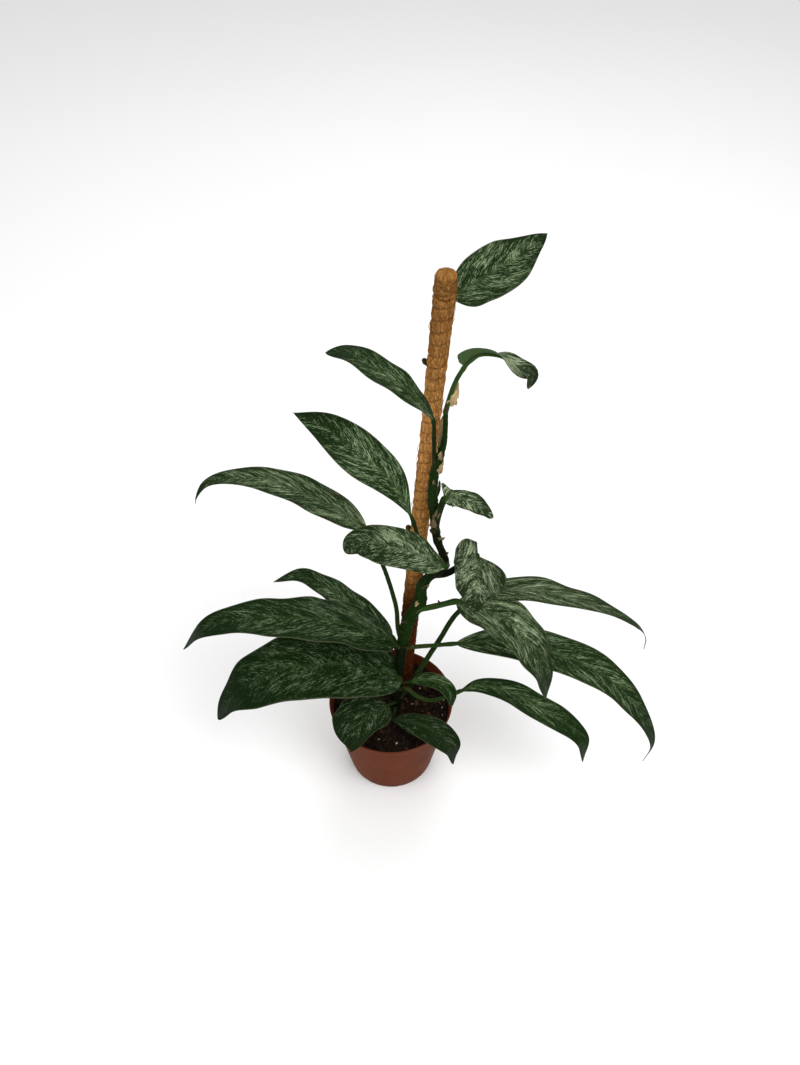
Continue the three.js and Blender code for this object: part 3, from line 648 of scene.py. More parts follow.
class SmoothLine:
    """A centripetal Catmull-Rom curve through its points, read by the share of its length."""

    DIVISIONS = 200
    TANGENT_STEP = 0.0001

    def __init__(self, points):
        self.points = np.array(points, dtype=float)
        self.steps = np.linspace(0, 1, self.DIVISIONS + 1)
        chords = np.linalg.norm(np.diff(self.at_step(self.steps), axis=0), axis=1)
        self.lengths = np.concatenate([[0], np.cumsum(chords)])
        self.length = self.lengths[-1]

    def at_step(self, steps):
        points = self.points
        place = np.clip(steps, 0, 1) * (len(points) - 1)
        index = np.minimum(place.astype(int), len(points) - 2)
        x = (place - index)[:, None]
        before = 2 * points[0] - points[1]
        after = 2 * points[-1] - points[-2]
        padded = np.vstack([before, points, after])
        p0, p1, p2, p3 = padded[index], padded[index + 1], padded[index + 2], padded[index + 3]
        gaps = [np.linalg.norm(b - a, axis=1)[:, None] for a, b in ((p0, p1), (p1, p2), (p2, p3))]
        d0, d1, d2 = (np.sqrt(gap) for gap in gaps)
        t1 = ((p1 - p0) / d0 - (p2 - p0) / (d0 + d1) + (p2 - p1) / d1) * d1
        t2 = ((p2 - p1) / d1 - (p3 - p1) / (d1 + d2) + (p3 - p2) / d2) * d1
        square = -3 * p1 + 3 * p2 - 2 * t1 - t2
        cube = 2 * p1 - 2 * p2 + t1 + t2
        return p1 + t1 * x + square * x ** 2 + cube * x ** 3

    def step_of(self, shares):
        return np.interp(np.asarray(shares) * self.length, self.lengths, self.steps)

    def at(self, shares):
        return self.at_step(self.step_of(shares))

    def tangent(self, shares):
        step = self.step_of(shares)
        ahead = np.minimum(step + self.TANGENT_STEP, 1)
        behind = np.maximum(step - self.TANGENT_STEP, 0)
        return unit(self.at_step(ahead) - self.at_step(behind))


def carried_normals(tangents):
    """A direction across each tangent, carried along the line without twist."""
    axis = np.eye(3)[np.argmin(np.abs(tangents[0]))]
    normals = [unit(np.cross(tangents[0], axis))]
    for tangent in tangents[1:]:
        normals.append(unit(normals[-1] - np.dot(normals[-1], tangent) * tangent))
    return np.array(normals)


# Pieces

class Piece:
    """Collects closed islands, with the values that the materials read, and makes one object."""

    def __init__(self, name, materials):
        self.name = name
        self.materials = materials
        self.points = []
        self.faces = []
        self.slots = []
        self.values = {"grain": [], "zone": [], "tone": []}
        self.count = 0

    def add(self, points, faces, slot=0, grain=(0, 0, 0), zone=(0, 0, 0), tone=(0, 0, 0)):
        number = len(points)
        for face_set in faces:
            self.faces.extend((face_set + self.count).tolist())
            self.slots.extend([slot] * len(face_set))
        self.points.append(points)
        for name, rows in (("grain", grain), ("zone", zone), ("tone", tone)):
            self.values[name].append(np.broadcast_to(np.asarray(rows, dtype=float), (number, 3)))
        self.count += number

    def build(self, slot, *nodes):
        mesh = bpy.data.meshes.new(self.name)
        mesh.from_pydata((np.vstack(self.points) * MM).tolist(), [], self.faces)
        for material in self.materials:
            mesh.materials.append(material)
        mesh.polygons.foreach_set("material_index", self.slots)
        mesh.polygons.foreach_set("use_smooth", [True] * len(mesh.polygons))
        for name, rows in self.values.items():
            layer = mesh.attributes.new(name, "FLOAT_VECTOR", "POINT")
            layer.data.foreach_set("vector", np.vstack(rows).ravel())
        mesh.update()
        piece = put_in_scene(self.name, mesh)
        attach(piece, BODY)
        if nodes:
            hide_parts(*nodes)
        return piece


def tube_faces(rings, sides):
    """The quads between the rings of a closed tube, and the fans at its two end points."""
    ring = np.arange(sides)
    after = (ring + 1) % sides
    row = np.arange(rings - 1)[:, None] * sides
    quads = np.stack([row + ring, row + after, row + sides + after, row + sides + ring], axis=-1)
    foot = np.full(sides, rings * sides)
    last = (rings - 1) * sides
    feet = np.stack([foot, after, ring], axis=-1)
    tops = np.stack([foot + 1, last + ring, last + after], axis=-1)
    return [quads.reshape(-1, 4), feet, tops]


def add_tube(piece, line, radius_at, sides, spacing, slot=0, seed=0.0, zone_at=None, roughness=0.0):
    """A round closed tube along a line. radius_at takes shares of its length."""
    curve = line if isinstance(line, SmoothLine) else SmoothLine(line)
    rings = max(4, round(curve.length / spacing)) + 1
    shares = np.linspace(0, 1, rings)
    centres = curve.at(shares)
    tangents = curve.tangent(shares)
    normals = carried_normals(tangents)
    binormals = np.cross(tangents, normals)
    turns = full_turn(sides)
    radii = np.broadcast_to(radius_at(shares), rings)[:, None]
    across = normals[:, None] * np.cos(turns)[:, None] + binormals[:, None] * np.sin(turns)[:, None]
    if roughness:
        sample = (centres[:, None] + across * radii[..., None]) / UNEVENNESS_SIZE
        radii = radii * (1 + roughness * value_noise(sample, seed))
    points = centres[:, None] + across * radii[..., None]
    grain = stack(shares[:, None] * curve.length, turns * radii, seed)
    zone = np.zeros((rings, 3)) if zone_at is None else zone_at(shares)
    zone = np.broadcast_to(zone[:, None], (rings, sides, 3)).reshape(-1, 3)
    ends = centres[[0, -1]]
    grain = np.vstack([grain.reshape(-1, 3), grain[0, :1], grain[-1, :1]])
    zone = np.vstack([zone, zone[:1], zone[-1:]])
    piece.add(
        np.vstack([points.reshape(-1, 3), ends]), tube_faces(rings, sides), slot, grain, zone
    )


def sheet_faces(rows, columns):
    """The faces of a thin closed sheet: upper grid, lower grid and the rim between them."""
    count = rows * columns
    index = np.arange(count).reshape(rows, columns)
    corners = [index[:-1, :-1], index[:-1, 1:], index[1:, 1:], index[1:, :-1]]
    upper = np.stack(corners, axis=-1).reshape(-1, 4)
    lower = count + upper[:, ::-1]
    border = np.concatenate([
        index[0, :-1], index[:-1, -1], index[-1, :0:-1], index[:0:-1, 0],
    ])
    after = np.roll(border, -1)
    rim = np.stack([after, border, count + border, count + after], axis=-1)
    return [upper, lower, rim]


# Materials

class Shader:
    """A new material with one Principled shader, and short ways to add nodes to it."""

    def __init__(self, name, **constants):
        self.material = bpy.data.materials.new(name)
        self.material.use_nodes = True
        self.tree = self.material.node_tree
        self.surface = self.tree.nodes["Principled BSDF"]
        for socket, value in constants.items():
            self.surface.inputs[socket.replace("_", " ")].default_value = value

    def set(self, node, socket, value):
        if isinstance(value, bpy.types.NodeSocket):
            self.tree.links.new(value, node.inputs[socket])
        else:
            node.inputs[socket].default_value = value

    def node(self, kind, inputs=None, **settings):
        node = self.tree.nodes.new(kind)
        for name, value in settings.items():
            setattr(node, name, value)
        for socket, value in (inputs or {}).items():
            self.set(node, socket, value)
        return node

    def values(self, name):
        """The three values of a point attribute."""
        vector = self.node("ShaderNodeAttribute", attribute_name=name).outputs["Vector"]
        return tuple(self.node("ShaderNodeSeparateXYZ", {0: vector}).outputs)

    def place(self):
        return self.node("ShaderNodeTexCoord").outputs["Object"]

    def math(self, operation, *values, clamp=False):
        node = self.node("ShaderNodeMath", operation=operation, use_clamp=clamp)
        for socket, value in enumerate(values):
            self.set(node, socket, value)
        return node.outputs[0]

    def times(self, first, second):
        return self.math("MULTIPLY", first, second)

    def plus(self, base, value, share):
        """The base and a share of another value."""
        return self.math("MULTIPLY_ADD", value, share, base)

    def stretched(self, vector, scales):
        return self.node("ShaderNodeMapping", {"Vector": vector, "Scale": scales}).outputs[0]

    def noise(self, vector, scale=1.0, detail=2.0, distortion=0.0):
        inputs = {"Vector": vector, "Scale": scale, "Detail": detail, "Distortion": distortion}
        return self.node("ShaderNodeTexNoise", inputs).outputs["Fac"]

    def streaks(self, grain, length, width, detail, distortion=0.0):
        """Noise with features so long along the grain of a surface, and so wide across it."""
        along, across, seed = grain
        x = self.math("DIVIDE", along, length)
        y = self.math("DIVIDE", across, width)
        vector = self.node("ShaderNodeCombineXYZ", {0: x, 1: y, 2: seed}).outputs[0]
        return self.noise(vector, 1.0, detail, distortion)

    def span(self, value, low, high, start=0.0, end=1.0):
        """Maps low..high smoothly to start..end and holds it outside."""
        inputs = {"Value": value, 1: low, 2: high, 3: start, 4: end}
        node = self.node("ShaderNodeMapRange", inputs, interpolation_type="SMOOTHSTEP")
        return node.outputs[0]

    def ramp(self, value, stops):
        node = self.node("ShaderNodeValToRGB", {"Fac": value})
        elements = node.color_ramp.elements
        while len(elements) < len(stops):
            elements.new(1.0)
        for element, (position, colour) in zip(elements, stops):
            element.position = position
            element.color = (*colour, 1)
        return node.outputs["Color"]

    def mix(self, share, first, second, blend="MIX"):
        node = self.node("ShaderNodeMix", data_type="RGBA", blend_type=blend)
        for socket, value in zip((0, 6, 7), (share, first, second)):
            if isinstance(value, tuple):
                value = (*value, 1)
            self.set(node, socket, value)
        return node.outputs[2]

    def dimmed(self, colour, light):
        return self.mix(1.0, colour, light, "MULTIPLY")

    def colour(self, value):
        self.set(self.surface, "Base Color", value)

    def roughness(self, value, low, high, start, end):
        self.set(self.surface, "Roughness", self.span(value, low, high, start, end))

    def bump(self, height, distance):
        node = self.node("ShaderNodeBump", {"Height": height, "Distance": distance})
        self.set(self.surface, "Normal", node.outputs[0])


def blade_material():
    """Dark green, brushed with mint flecks along the side veins; paler and plainer below. Painted shade
    darkens it and thins its flecks towards the tip, and thins them near the margin; the greyer leaves carry
    partly a painted sheen.
    """
    deep = (0.0045, 0.0205, 0.0018)
    # The greyer colours are partly the leaf's own greyish green, partly a painted sheen
    grey_deep = (0.0125, 0.0230, 0.0066)
    haze = (0.024, 0.071, 0.012)
    grey_haze = (0.064, 0.092, 0.042)
    mint = (0.250, 0.380, 0.185)
    grey_mint = (0.360, 0.425, 0.265)
    rib_green = (0.045, 0.095, 0.022)
    grey_rib = (0.052, 0.076, 0.036)
    margin_green = (0.20, 0.20, 0.11)

    shader = Shader("leaf_blade", IOR=1.45, Specular_IOR_Level=0.04)
    grain = shader.values("grain")
    under, edge, light = shader.values("zone")
    density, grey, share = shader.values("tone")
    reach = shader.math("ABSOLUTE", grain[1])

    strokes = shader.streaks(grain, 1.1, 3.4, 3.0, 0.9)
    fine_strokes = shader.streaks(grain, 0.6, 1.8, 2.0, 0.7)
    patches = shader.streaks(grain, 6.5, 6.0, 2.0, 0.3)
    clouds = shader.streaks(grain, 24.0, 18.0, 1.0, 0.3)
    # Painted shade: fewer flecks towards the tip and near the margin
    tip_shade = shader.span(share, 0.5, 1.0)
    margin_shade = shader.span(edge, 0.6, 1.0)
    drive = shader.plus(shader.times(clouds, 0.18), patches, 0.24)
    drive = shader.plus(drive, density, 0.14)
    drive = shader.plus(drive, tip_shade, -0.055)
    drive = shader.plus(drive, margin_shade, -0.04)
    soft = shader.span(shader.plus(drive, strokes, 0.35), 0.45, 0.60)
    crisp = shader.plus(shader.plus(drive, strokes, 0.5), fine_strokes, 0.5)
    crisp = shader.span(crisp, 0.84, 0.90)

    # Greyer leaves: partly their own greyish green, partly a painted sheen
    base = shader.mix(grey, deep, grey_deep)
    base = shader.dimmed(base, shader.math("POWER", light, -0.5))
    colour = shader.mix(soft, base, shader.mix(grey, haze, grey_haze))
    colour = shader.mix(crisp, colour, shader.mix(grey, mint, grey_mint))

    rib = shader.span(share, 0.25, 0.9, 0.55, 0.1)
    rib = shader.times(shader.span(reach, 0.6, 2.8, 1.0, 0.0), rib)
    colour = shader.mix(rib, colour, shader.mix(grey, rib_green, grey_rib))
    margin = shader.times(shader.span(edge, 0.95, 0.97), shader.plus(0.6, grey, -0.5))
    colour = shader.mix(margin, colour, margin_green)
    # Each leaf's lightness, with painted shade darkening it towards the tip
    colour = shader.dimmed(colour, shader.times(light, shader.plus(1.0, tip_shade, -0.25)))
    lower = shader.mix(shader.times(strokes, 0.2), UNDER_GREEN, mint)
    shader.colour(shader.mix(shader.times(under, 0.95), colour, lower))

    shader.roughness(strokes, 0.2, 0.8, 0.42, 0.55)
    shader.bump(shader.plus(strokes, fine_strokes, 0.5), 0.00016)
    return shader.material


def petiole_material():
    """Green leaf stalks, streaked lengthwise, browner at the foot."""
    foot_brown = (0.055, 0.030, 0.015)

    shader = Shader("leaf_petiole", IOR=1.45, Specular_IOR_Level=0.03)
    grain = shader.values("grain")
    brown, under_blade, light = shader.values("zone")
    streaks = shader.streaks(grain, 9, 0.7, 3)
    mottle = shader.streaks(grain, 5, 4, 3)
    green = shader.mix(under_blade, shader.ramp(streaks, PETIOLE_STOPS), UNDER_GREEN)
    green = shader.dimmed(green, light)
    stained = shader.plus(mottle, brown, 0.22)
    shader.colour(shader.mix(shader.span(stained, 0.66, 0.86), green, foot_brown))
    shader.roughness(mottle, 0.3, 0.7, 0.4, 0.6)
    shader.bump(streaks, 0.00025)
    return shader.material


def stem_material():
    """Old green stems with brown ring scars and a corky, streaked skin, black in places."""
    black_skin = (0.004, 0.005, 0.002)
    tip_brown = (0.09, 0.05, 0.03)

    shader = Shader("vine_stem", IOR=1.45, Specular_IOR_Level=0.03)
    grain = shader.values("grain")
    scar, tip, black = shader.values("zone")
    streaks = shader.streaks(grain, 7, 0.8, 4)
    patches = shader.streaks(grain, 6, 5, 4, 0.6)
    corky = shader.plus(shader.times(scar, 0.22), patches, 0.8)
    colour = shader.ramp(streaks, STEM_STOPS)
    colour = shader.mix(shader.span(corky, 0.58, 0.80), colour, shader.ramp(patches, CORK_STOPS))
    colour = shader.mix(shader.times(black, 0.85), colour, black_skin)
    shader.colour(shader.mix(tip, colour, tip_brown))
    shader.roughness(patches, 0.3, 0.7, 0.45, 0.8)
    shader.bump(shader.math("ADD", streaks, patches), 0.0004)
    return shader.material


def coir_material(name, darker=0.0):
    """Coconut fibre: lengthwise strands of straw to rust brown, redder and darker near the soil. Painted
    shade darkens the top, the thread grooves and neck, the thread and some strands over the cap.
    """
    painted_top_shade = (0.07, 0.024, 0.004)
    shade = (0.040, 0.015, 0.005)

    shader = Shader(name, IOR=1.4, Specular_IOR_Level=0.01)
    along, around, seed = shader.values("grain")
    height, hollow, _ = shader.values("zone")
    strands = shader.streaks((along, around, seed), 5, 0.55, 3, 0.9)
    slanted = shader.plus(around, along, 0.45)
    crossing = shader.streaks((along, slanted, seed), 4, 0.7, 2, 1.2)
    tufts = shader.streaks((along, around, seed), 7, 3, 3, 0.8)
    blend = shader.plus(shader.times(strands, 0.4), crossing, 0.35)
    blend = shader.plus(blend, tufts, 0.25)
    low_colour = shader.ramp(blend, LOW_COIR_STOPS)
    colour = shader.mix(shader.span(height, 0.25, 0.44), low_colour, shader.ramp(blend, COIR_STOPS))
    # Painted shade: darker and redder towards the top of the sleeve
    colour = shader.mix(shader.span(height, 0.72, 0.95, 0.0, 0.5), colour, painted_top_shade)
    # Painted shade in the thread grooves and neck, on the thread and on some strands over the cap
    dark = shader.math("MULTIPLY_ADD", hollow, 0.5, darker, clamp=True)
    shader.colour(shader.mix(dark, colour, shade))
    shader.roughness(tufts, 0.3, 0.7, 0.8, 0.95)
    shader.bump(blend, 0.0014)
    return shader.material


def soil_material(name, stops, bump=0.0006):
    """Damp crumbly matter in the given colours."""
    shader = Shader(name, IOR=1.4, Specular_IOR_Level=0.1)
    place = shader.place()
    clods = shader.noise(place, 160, 5, 0.4)
    grit = shader.noise(place, 900, 3)
    blend = shader.math("ADD", shader.times(clods, 0.55), shader.times(grit, 0.45))
    shader.colour(shader.ramp(blend, stops))
    shader.roughness(grit, 0.3, 0.7, 0.7, 0.95)
    shader.bump(grit, bump)
    return shader.material


def pot_material():
    """Satin reddish-brown moulded plastic, with faint scuffs and a little dust towards the foot."""
    worn_plastic = (0.20, 0.085, 0.050)
    dusty = (0.16, 0.09, 0.060)

    shader = Shader("pot_plastic", IOR=1.46, Specular_IOR_Level=0.02)
    place = shader.place()
    cloud = shader.noise(place, 22, 4, 0.3)
    grain = shader.noise(place, 1400, 2)
    scuffs = shader.noise(shader.stretched(place, (60, 60, 260)), 1, 5, 1.2)
    height = shader.node("ShaderNodeSeparateXYZ", {0: place}).outputs[2]
    worn = shader.times(shader.span(scuffs, 0.62, 0.82), 0.15)
    colour = shader.mix(worn, shader.ramp(cloud, POT_STOPS), worn_plastic)
    dust = shader.times(shader.span(height, 0.0, 0.05, 0.15, 0.0), cloud)
    shader.colour(shader.mix(dust, colour, dusty))
    shader.roughness(scuffs, 0.3, 0.8, 0.42, 0.6)
    shader.bump(shader.math("ADD", grain, shader.times(scuffs, 0.6)), 0.00008)
    return shader.material


def paper_material():
    """Dry papery skin, straw to brown, with lengthwise fibres and dark torn ends."""
    torn_brown = (0.055, 0.028, 0.015)

    shader = Shader("dry_sheath", IOR=1.4, Specular_IOR_Level=0.15)
    grain = shader.values("grain")
    _, edge, light = shader.values("zone")
    fibres = shader.streaks(grain, 8, 0.5, 3)
    blotch = shader.streaks(grain, 5, 4, 3)
    colour = shader.dimmed(shader.ramp(fibres, SKIN_STOPS), light)
    dark = shader.plus(shader.plus(blotch, light, -0.15), edge, 0.2)
    shader.colour(shader.mix(shader.span(dark, 0.5, 0.75), colour, torn_brown))
    shader.roughness(blotch, 0.3, 0.7, 0.6, 0.85)
    shader.bump(fibres, 0.0002)
    return shader.material


def stick_material():
    """Plain pale wood, with its grain along the stick."""
    shader = Shader("stick_wood", IOR=1.45, Specular_IOR_Level=0.3)
    rings = shader.noise(shader.stretched(shader.place(), (600, 600, 18)), 1, 4)
    shader.colour(shader.ramp(rings, STICK_STOPS))
    shader.roughness(rings, 0.3, 0.7, 0.55, 0.75)
    shader.bump(rings, 0.0002)
    return shader.material


# Leaves

def outline_share(share, powers):
    """A blade's half width at shares of its midrib, with 1 where it is widest."""
    base_power, tip_power = powers
    widest = base_power / (base_power + tip_power)
    peak = widest ** base_power * (1 - widest) ** tip_power
    return share ** base_power * (1 - share) ** tip_power / peak


def leaf_frames(leaf, curve, shares):
    """Point, sideways and upward directions of a leaf at shares of its midrib."""
    tangents = curve.tangent(shares)
    first, last = (np.array(face, dtype=float) for face in leaf["face"])
    face = first + (last - first) * np.asarray(shares)[:, None]
    side = unit(np.cross(tangents, face))
    up = unit(np.cross(side, tangents))
    return curve.at(shares), side, up


def edge_factors(leaf, share, across):
    """How much wider each side of a blade is than its plain outline, at shares of its midrib."""
    rows = np.array(leaf.get("edges", PLAIN_EDGES), dtype=float)
    after = np.clip(np.searchsorted(rows[:, 0], share), 1, len(rows) - 1)
    first, last = rows[after - 1], rows[after]
    step = smooth_step(first[:, 0], last[:, 0], share)[:, None]
    sides = first[:, 1:] + (last[:, 1:] - first[:, 1:]) * step
    return np.where(across < 0, sides[:, :1], sides[:, 1:])


def lobe_lengths(leaf, share, across):
    """How far the base of each side runs back past the foot of the midrib."""
    left, right = leaf.get("lobes", (0, 0))
    fade = 1 - np.minimum(1, share[:, None] / LOBE_SHARE)
    return np.where(across < 0, left, right) * np.abs(across) ** LOBE_POWER * fade ** 2


def add_blade(piece, leaf, seed, looks, cell=BLADE_CELL, cells_across=BLADE_CELLS_ACROSS,
              ragged=0.0, slot=0):
    """A leaf blade: a thin closed sheet with a grooved midrib, low side veins and slow swells."""
    density, grey, light, vein_slope, pucker = looks
    curve = SmoothLine(leaf["rib"])
    rows = max(BLADE_ROWS_LEAST, round(curve.length / cell)) + 1
    even = np.linspace(0, 1, rows)
    share = even - BLADE_END_CROWDING * np.sin(2 * np.pi * even)
    spread = outline_share(np.clip(share, NEARLY_NOTHING, 1 - NEARLY_NOTHING), leaf["outline"])[:, None]
    place = np.linspace(-1, 1, cells_across + 1)
    across = np.sign(place) * np.abs(place) ** MIDDLE_CROWDING
    point, side, up = leaf_frames(leaf, curve, share)
    along = share[:, None] * curve.length

    def noise(x, y, own_seed):
        return value_noise(stack(x, y, seed), seed + own_seed)

    # Outline, dented where the leaf is crumpled and torn where it is dry
    crumpled = max(0, pucker - 1)
    edge_side = np.sign(across) * EDGE_NOISE_APART
    half = 0.5 * leaf["width"] * spread * edge_factors(leaf, share, across)
    half = np.maximum(BLADE_HALF_LEAST, half)
    dents = noise(along / EDGE_CRUMPLE_SIZE, edge_side, 2)
    half = half * (1 + EDGE_CRUMPLE * crumpled * dents * across ** 2)
    if ragged:
        half = half * (1 + ragged * noise(along / EDGE_TEAR_SIZE, edge_side, 0) * np.abs(across) ** 2)
    reach = half * across

    # Fold, margin waves, swells, creases and ripples
    fold = math.radians(leaf["fold"])
    height, count, phase = leaf["waves"]
    turn = 2 * np.pi * (count * share[:, None] + phase) + across * WAVE_SLANT
    lift = np.abs(reach) * math.sin(fold) + height * spread * across ** 2 * np.sin(turn)
    flat_share = np.minimum(1, half / SWELL_SIZE)
    off_midrib = smooth_step(0, SWELL_FROM_MIDRIB, np.abs(reach))
    swells = noise(along / SWELL_SIZE, reach / SWELL_SIZE, 0)
    lift = lift + SWELL_HEIGHT * pucker * flat_share * off_midrib * swells
    creases = noise(along / CREASE_SIZE, reach / CREASE_SIZE, 3)
    lift = lift + CREASE_HEIGHT * crumpled * off_midrib * creases
    ripple = noise(along / RIPPLE_SIZE, np.sign(across) * RIPPLE_NOISE_APART, 5)
    lift = lift + RIPPLE_HEIGHT * flat_share * across ** RIPPLE_EDGE_POWER * ripple

    # Side veins and the groove over the midrib
    line = along - vein_slope * np.abs(reach) * (1 + VEIN_BEND * np.abs(across))
    line = line + VEIN_WANDER * noise(along / VEIN_WANDER_LENGTH, reach / VEIN_WANDER_WIDTH, 9)
    vein_fade = smooth_step(*VEIN_CLEAR_OF_MIDRIB, np.abs(reach))
    vein_fade = vein_fade * (1 - across ** VEIN_EDGE_POWER) * flat_share
    vein = np.cos(np.pi * line / VEIN_SPACING) ** VEIN_SHARPNESS
    lift = lift - VEIN_DEPTH * pucker * vein_fade * vein
    groove = np.exp(-(reach / GROOVE_HALF_WIDTH) ** 2)
    groove = groove * smooth_step(0, GROOVE_FROM_SHARE, share)[:, None]
    groove = groove * (1 - GROOVE_FADE * share[:, None]) * flat_share
    thickness = BLADE_MARGIN + (BLADE_MIDDLE - BLADE_MARGIN) * (1 - across ** 2)

    back = curve.tangent(share)[:, None] * lobe_lengths(leaf, share, across)[..., None]
    middle = point[:, None] - back + side[:, None] * (reach * math.cos(fold))[..., None]
    upper = middle + up[:, None] * (lift - GROOVE_DEPTH * groove)[..., None]
    lower = middle + up[:, None] * (lift - thickness - GROOVE_DEPTH * groove)[..., None]
    points = np.vstack([upper.reshape(-1, 3), lower.reshape(-1, 3)])

    grain = stack(line, reach, seed).reshape(-1, 3)
    zones = [stack(under, np.abs(across) + 0 * along, light).reshape(-1, 3) for under in (0, 1)]
    tones = stack(density, grey, share[:, None] + 0 * across).reshape(-1, 3)
    faces = sheet_faces(rows, cells_across + 1)
    piece.add(
        points, faces, slot, np.vstack([grain, grain]), np.vstack(zones), np.vstack([tones, tones])
    )


def midrib_radii(thick):
    """The midrib's radius at each of its points."""
    return np.interp(MIDRIB_SHARES, (0, 1), (thick * MIDRIB_SLIMMING, MIDRIB_TIP_RADIUS))


def petiole_radius_at(leaf, blade_from):
    """The stalk's radius: flared at the foot, a joint below the blade, then thinner as a midrib."""
    thick = leaf["petiole_radius"]
    shape = np.array([thick, thick * PETIOLE_TAPER, *midrib_radii(thick)[[1, -1]]])
    places = (0, blade_from, blade_from + MIDRIB_NARROWING * (1 - blade_from), 1)

    def radius_at(share):
        radius = np.interp(share, places, shape)
        past_joint = share - blade_from + PETIOLE_JOINT_REACH
        joint = PETIOLE_JOINT * np.exp(-(past_joint / PETIOLE_JOINT_REACH) ** 2)
        return radius * (1 + joint + PETIOLE_FLARE * np.exp(-share / PETIOLE_FLARE_REACH))
    return radius_at


def add_petiole(piece, leaf, seed, light, blade_light, slot):
    """The stalk from inside its stem to the blade, and on under the blade as its midrib."""
    shares = np.array(MIDRIB_SHARES)
    point, _, up = leaf_frames(leaf, SmoothLine(leaf["rib"]), shares)
    sinking = np.minimum(1, shares / MIDRIB_SINKING)
    drop = midrib_radii(leaf["petiole_radius"]) + MIDRIB_BELOW_GROOVE
    drop = MIDRIB_BELOW_BASE + (drop - MIDRIB_BELOW_BASE) * sinking
    midrib = point - up * drop[:, None]
    line = SmoothLine([*leaf["petiole"], *midrib])
    blade_from = SmoothLine([*leaf["petiole"], midrib[0]]).length / line.length
    on_top = min(1, blade_light) ** MIDRIB_DIMMING

    def fade(span, share):
        return smooth_step(blade_from + span[0], blade_from + span[1], share)

    def zone_at(share):
        under_blade = fade(UNDER_BLADE_SPAN, share)
        rib_light = on_top + (1 - on_top) * fade(BELOW_SPAN, share)
        lightness = light + (rib_light - light) * under_blade
        return stack(1 - smooth_step(0, BROWN_FOOT_SHARE, share), under_blade, lightness)

    radius_at = petiole_radius_at(leaf, blade_from)
    add_tube(
        piece, line, radius_at, PETIOLE_SIDES, PETIOLE_STEP, slot, seed, zone_at, PETIOLE_UNEVENNESS
    )


def build_leaf(name, leaf, number):
    piece = Piece(f"{name}_fine", [MATERIALS["blade"], MATERIALS["petiole"]])
    *looks, stalk_light = leaf["looks"]
    add_blade(piece, leaf, number * BLADE_SEED, looks)
    add_petiole(piece, leaf, number * PETIOLE_SEED, stalk_light, looks[2], slot=1)
    piece.build("leaf", name)


def dry_looks(light):
    """Looks of dry skin, which has no flecks and no slanting veins."""
    return 0, 0, light, 0, 1


def build_sheath(name, sheath, number):
    piece = Piece(f"{name}_fine", [MATERIALS["paper"]])
    add_blade(
        piece, sheath, SHEATH_FIRST_SEED + number * SHEATH_SEED, dry_looks(sheath["light"]),
        SHEATH_CELL, SHEATH_CELLS_ACROSS, SHEATH_RAGGED,
    )
    piece.build("sheath", name)


# Stems

def scar_nearness(heights, scars, reach):
    """1 at a scar, falling to 0 over the reach."""
    distance = np.min(np.abs(heights[:, None] - np.array(scars)[None, :]), axis=1)
    return np.exp(-(distance / reach) ** 2)


def blackness(heights):
    """1 where the front stem's skin has turned black, 0 elsewhere."""
    black = np.zeros(len(heights))
    for low, high in BLACKENED:
        rise = smooth_step(low - BLACKENED_FADE, low + BLACKENED_FADE, heights)
        fall = 1 - smooth_step(high - BLACKENED_FADE, high + BLACKENED_FADE, heights)
        black = np.maximum(black, rise * fall)
    return black


def build_stem(name, stem, number):
    """A stem with swollen, ring-scarred nodes, and the short roots that grow from it."""
    piece = Piece(f"{name}_fine", [MATERIALS["stem"]])
    line = SmoothLine(stem["line"])
    radii = np.array(stem["radii"], dtype=float)

    def radius_at(share):
        heights = line.at(share)[:, 2]
        radius = np.interp(share, np.linspace(0, 1, len(radii)), radii)
        swell = NODE_SWELL * scar_nearness(heights, SCARS[name], NODE_REACH)
        ring = RING_DEPTH * scar_nearness(heights, SCARS[name], RING_REACH)
        close = 1 - smooth_step(STEM_END_SHARE, 1, share) * STEM_END_CLOSING
        return (radius + swell - ring) * close

    def zone_at(share):
        height = line.at(share)[:, 2]
        black = blackness(height) if name == "vine_front" else 0
        return stack(scar_nearness(height, SCARS[name], SCAR_REACH), 0, black)

    add_tube(
        piece, line, radius_at, STEM_SIDES, STEM_STEP, 0, number * STEM_SEED, zone_at, STEM_UNEVENNESS
    )
    for owner, points, ends in ROOTLETS:
        if owner == name:
            number += 1
            add_tube(
                piece, points, lambda share, ends=ends: rounded_end(share, ends), ROOTLET_SIDES,
                ROOTLET_STEP, 0, number * ROOTLET_SEED,
                lambda share: stack(ROOTLET_SCAR, ROOTLET_TIP * share, 0), ROOTLET_UNEVENNESS,
            )
    piece.build("stem", name)


def rounded_end(share, ends):
    """A radius that follows its values and then closes in a round tip."""
    radius = np.interp(share, np.linspace(0, 1, len(ends)), ends)
    return radius * np.sqrt(np.clip((1.001 - share) / ROOTLET_ROUND, 0.002, 1))


def stalk_line(owner):
    """The centre line of a stem or a leaf's stalk, and its radius at shares of it."""
    if owner in STEMS:
        radii = np.array(STEMS[owner]["radii"], dtype=float)
        return SmoothLine(STEMS[owner]["line"]), radii
    leaf = LEAVES[owner]
    return SmoothLine([*leaf["petiole"], leaf["rib"][0]]), np.full(2, leaf["petiole_radius"])


def seat_on(owner, height, side):
    """The place on the skin of a stem or stalk at a height and on one of its sides."""
    line, radii = stalk_line(owner)
    shares = np.linspace(0, 1, 400)
    points = line.at(shares)
    nearest = np.argmin(np.abs(points[:, 2] - height))
    radius = np.interp(shares[nearest], np.linspace(0, 1, len(radii)), radii)
    return points[nearest] + FLAKE_SEAT * radius * unit(np.array(side, dtype=float))


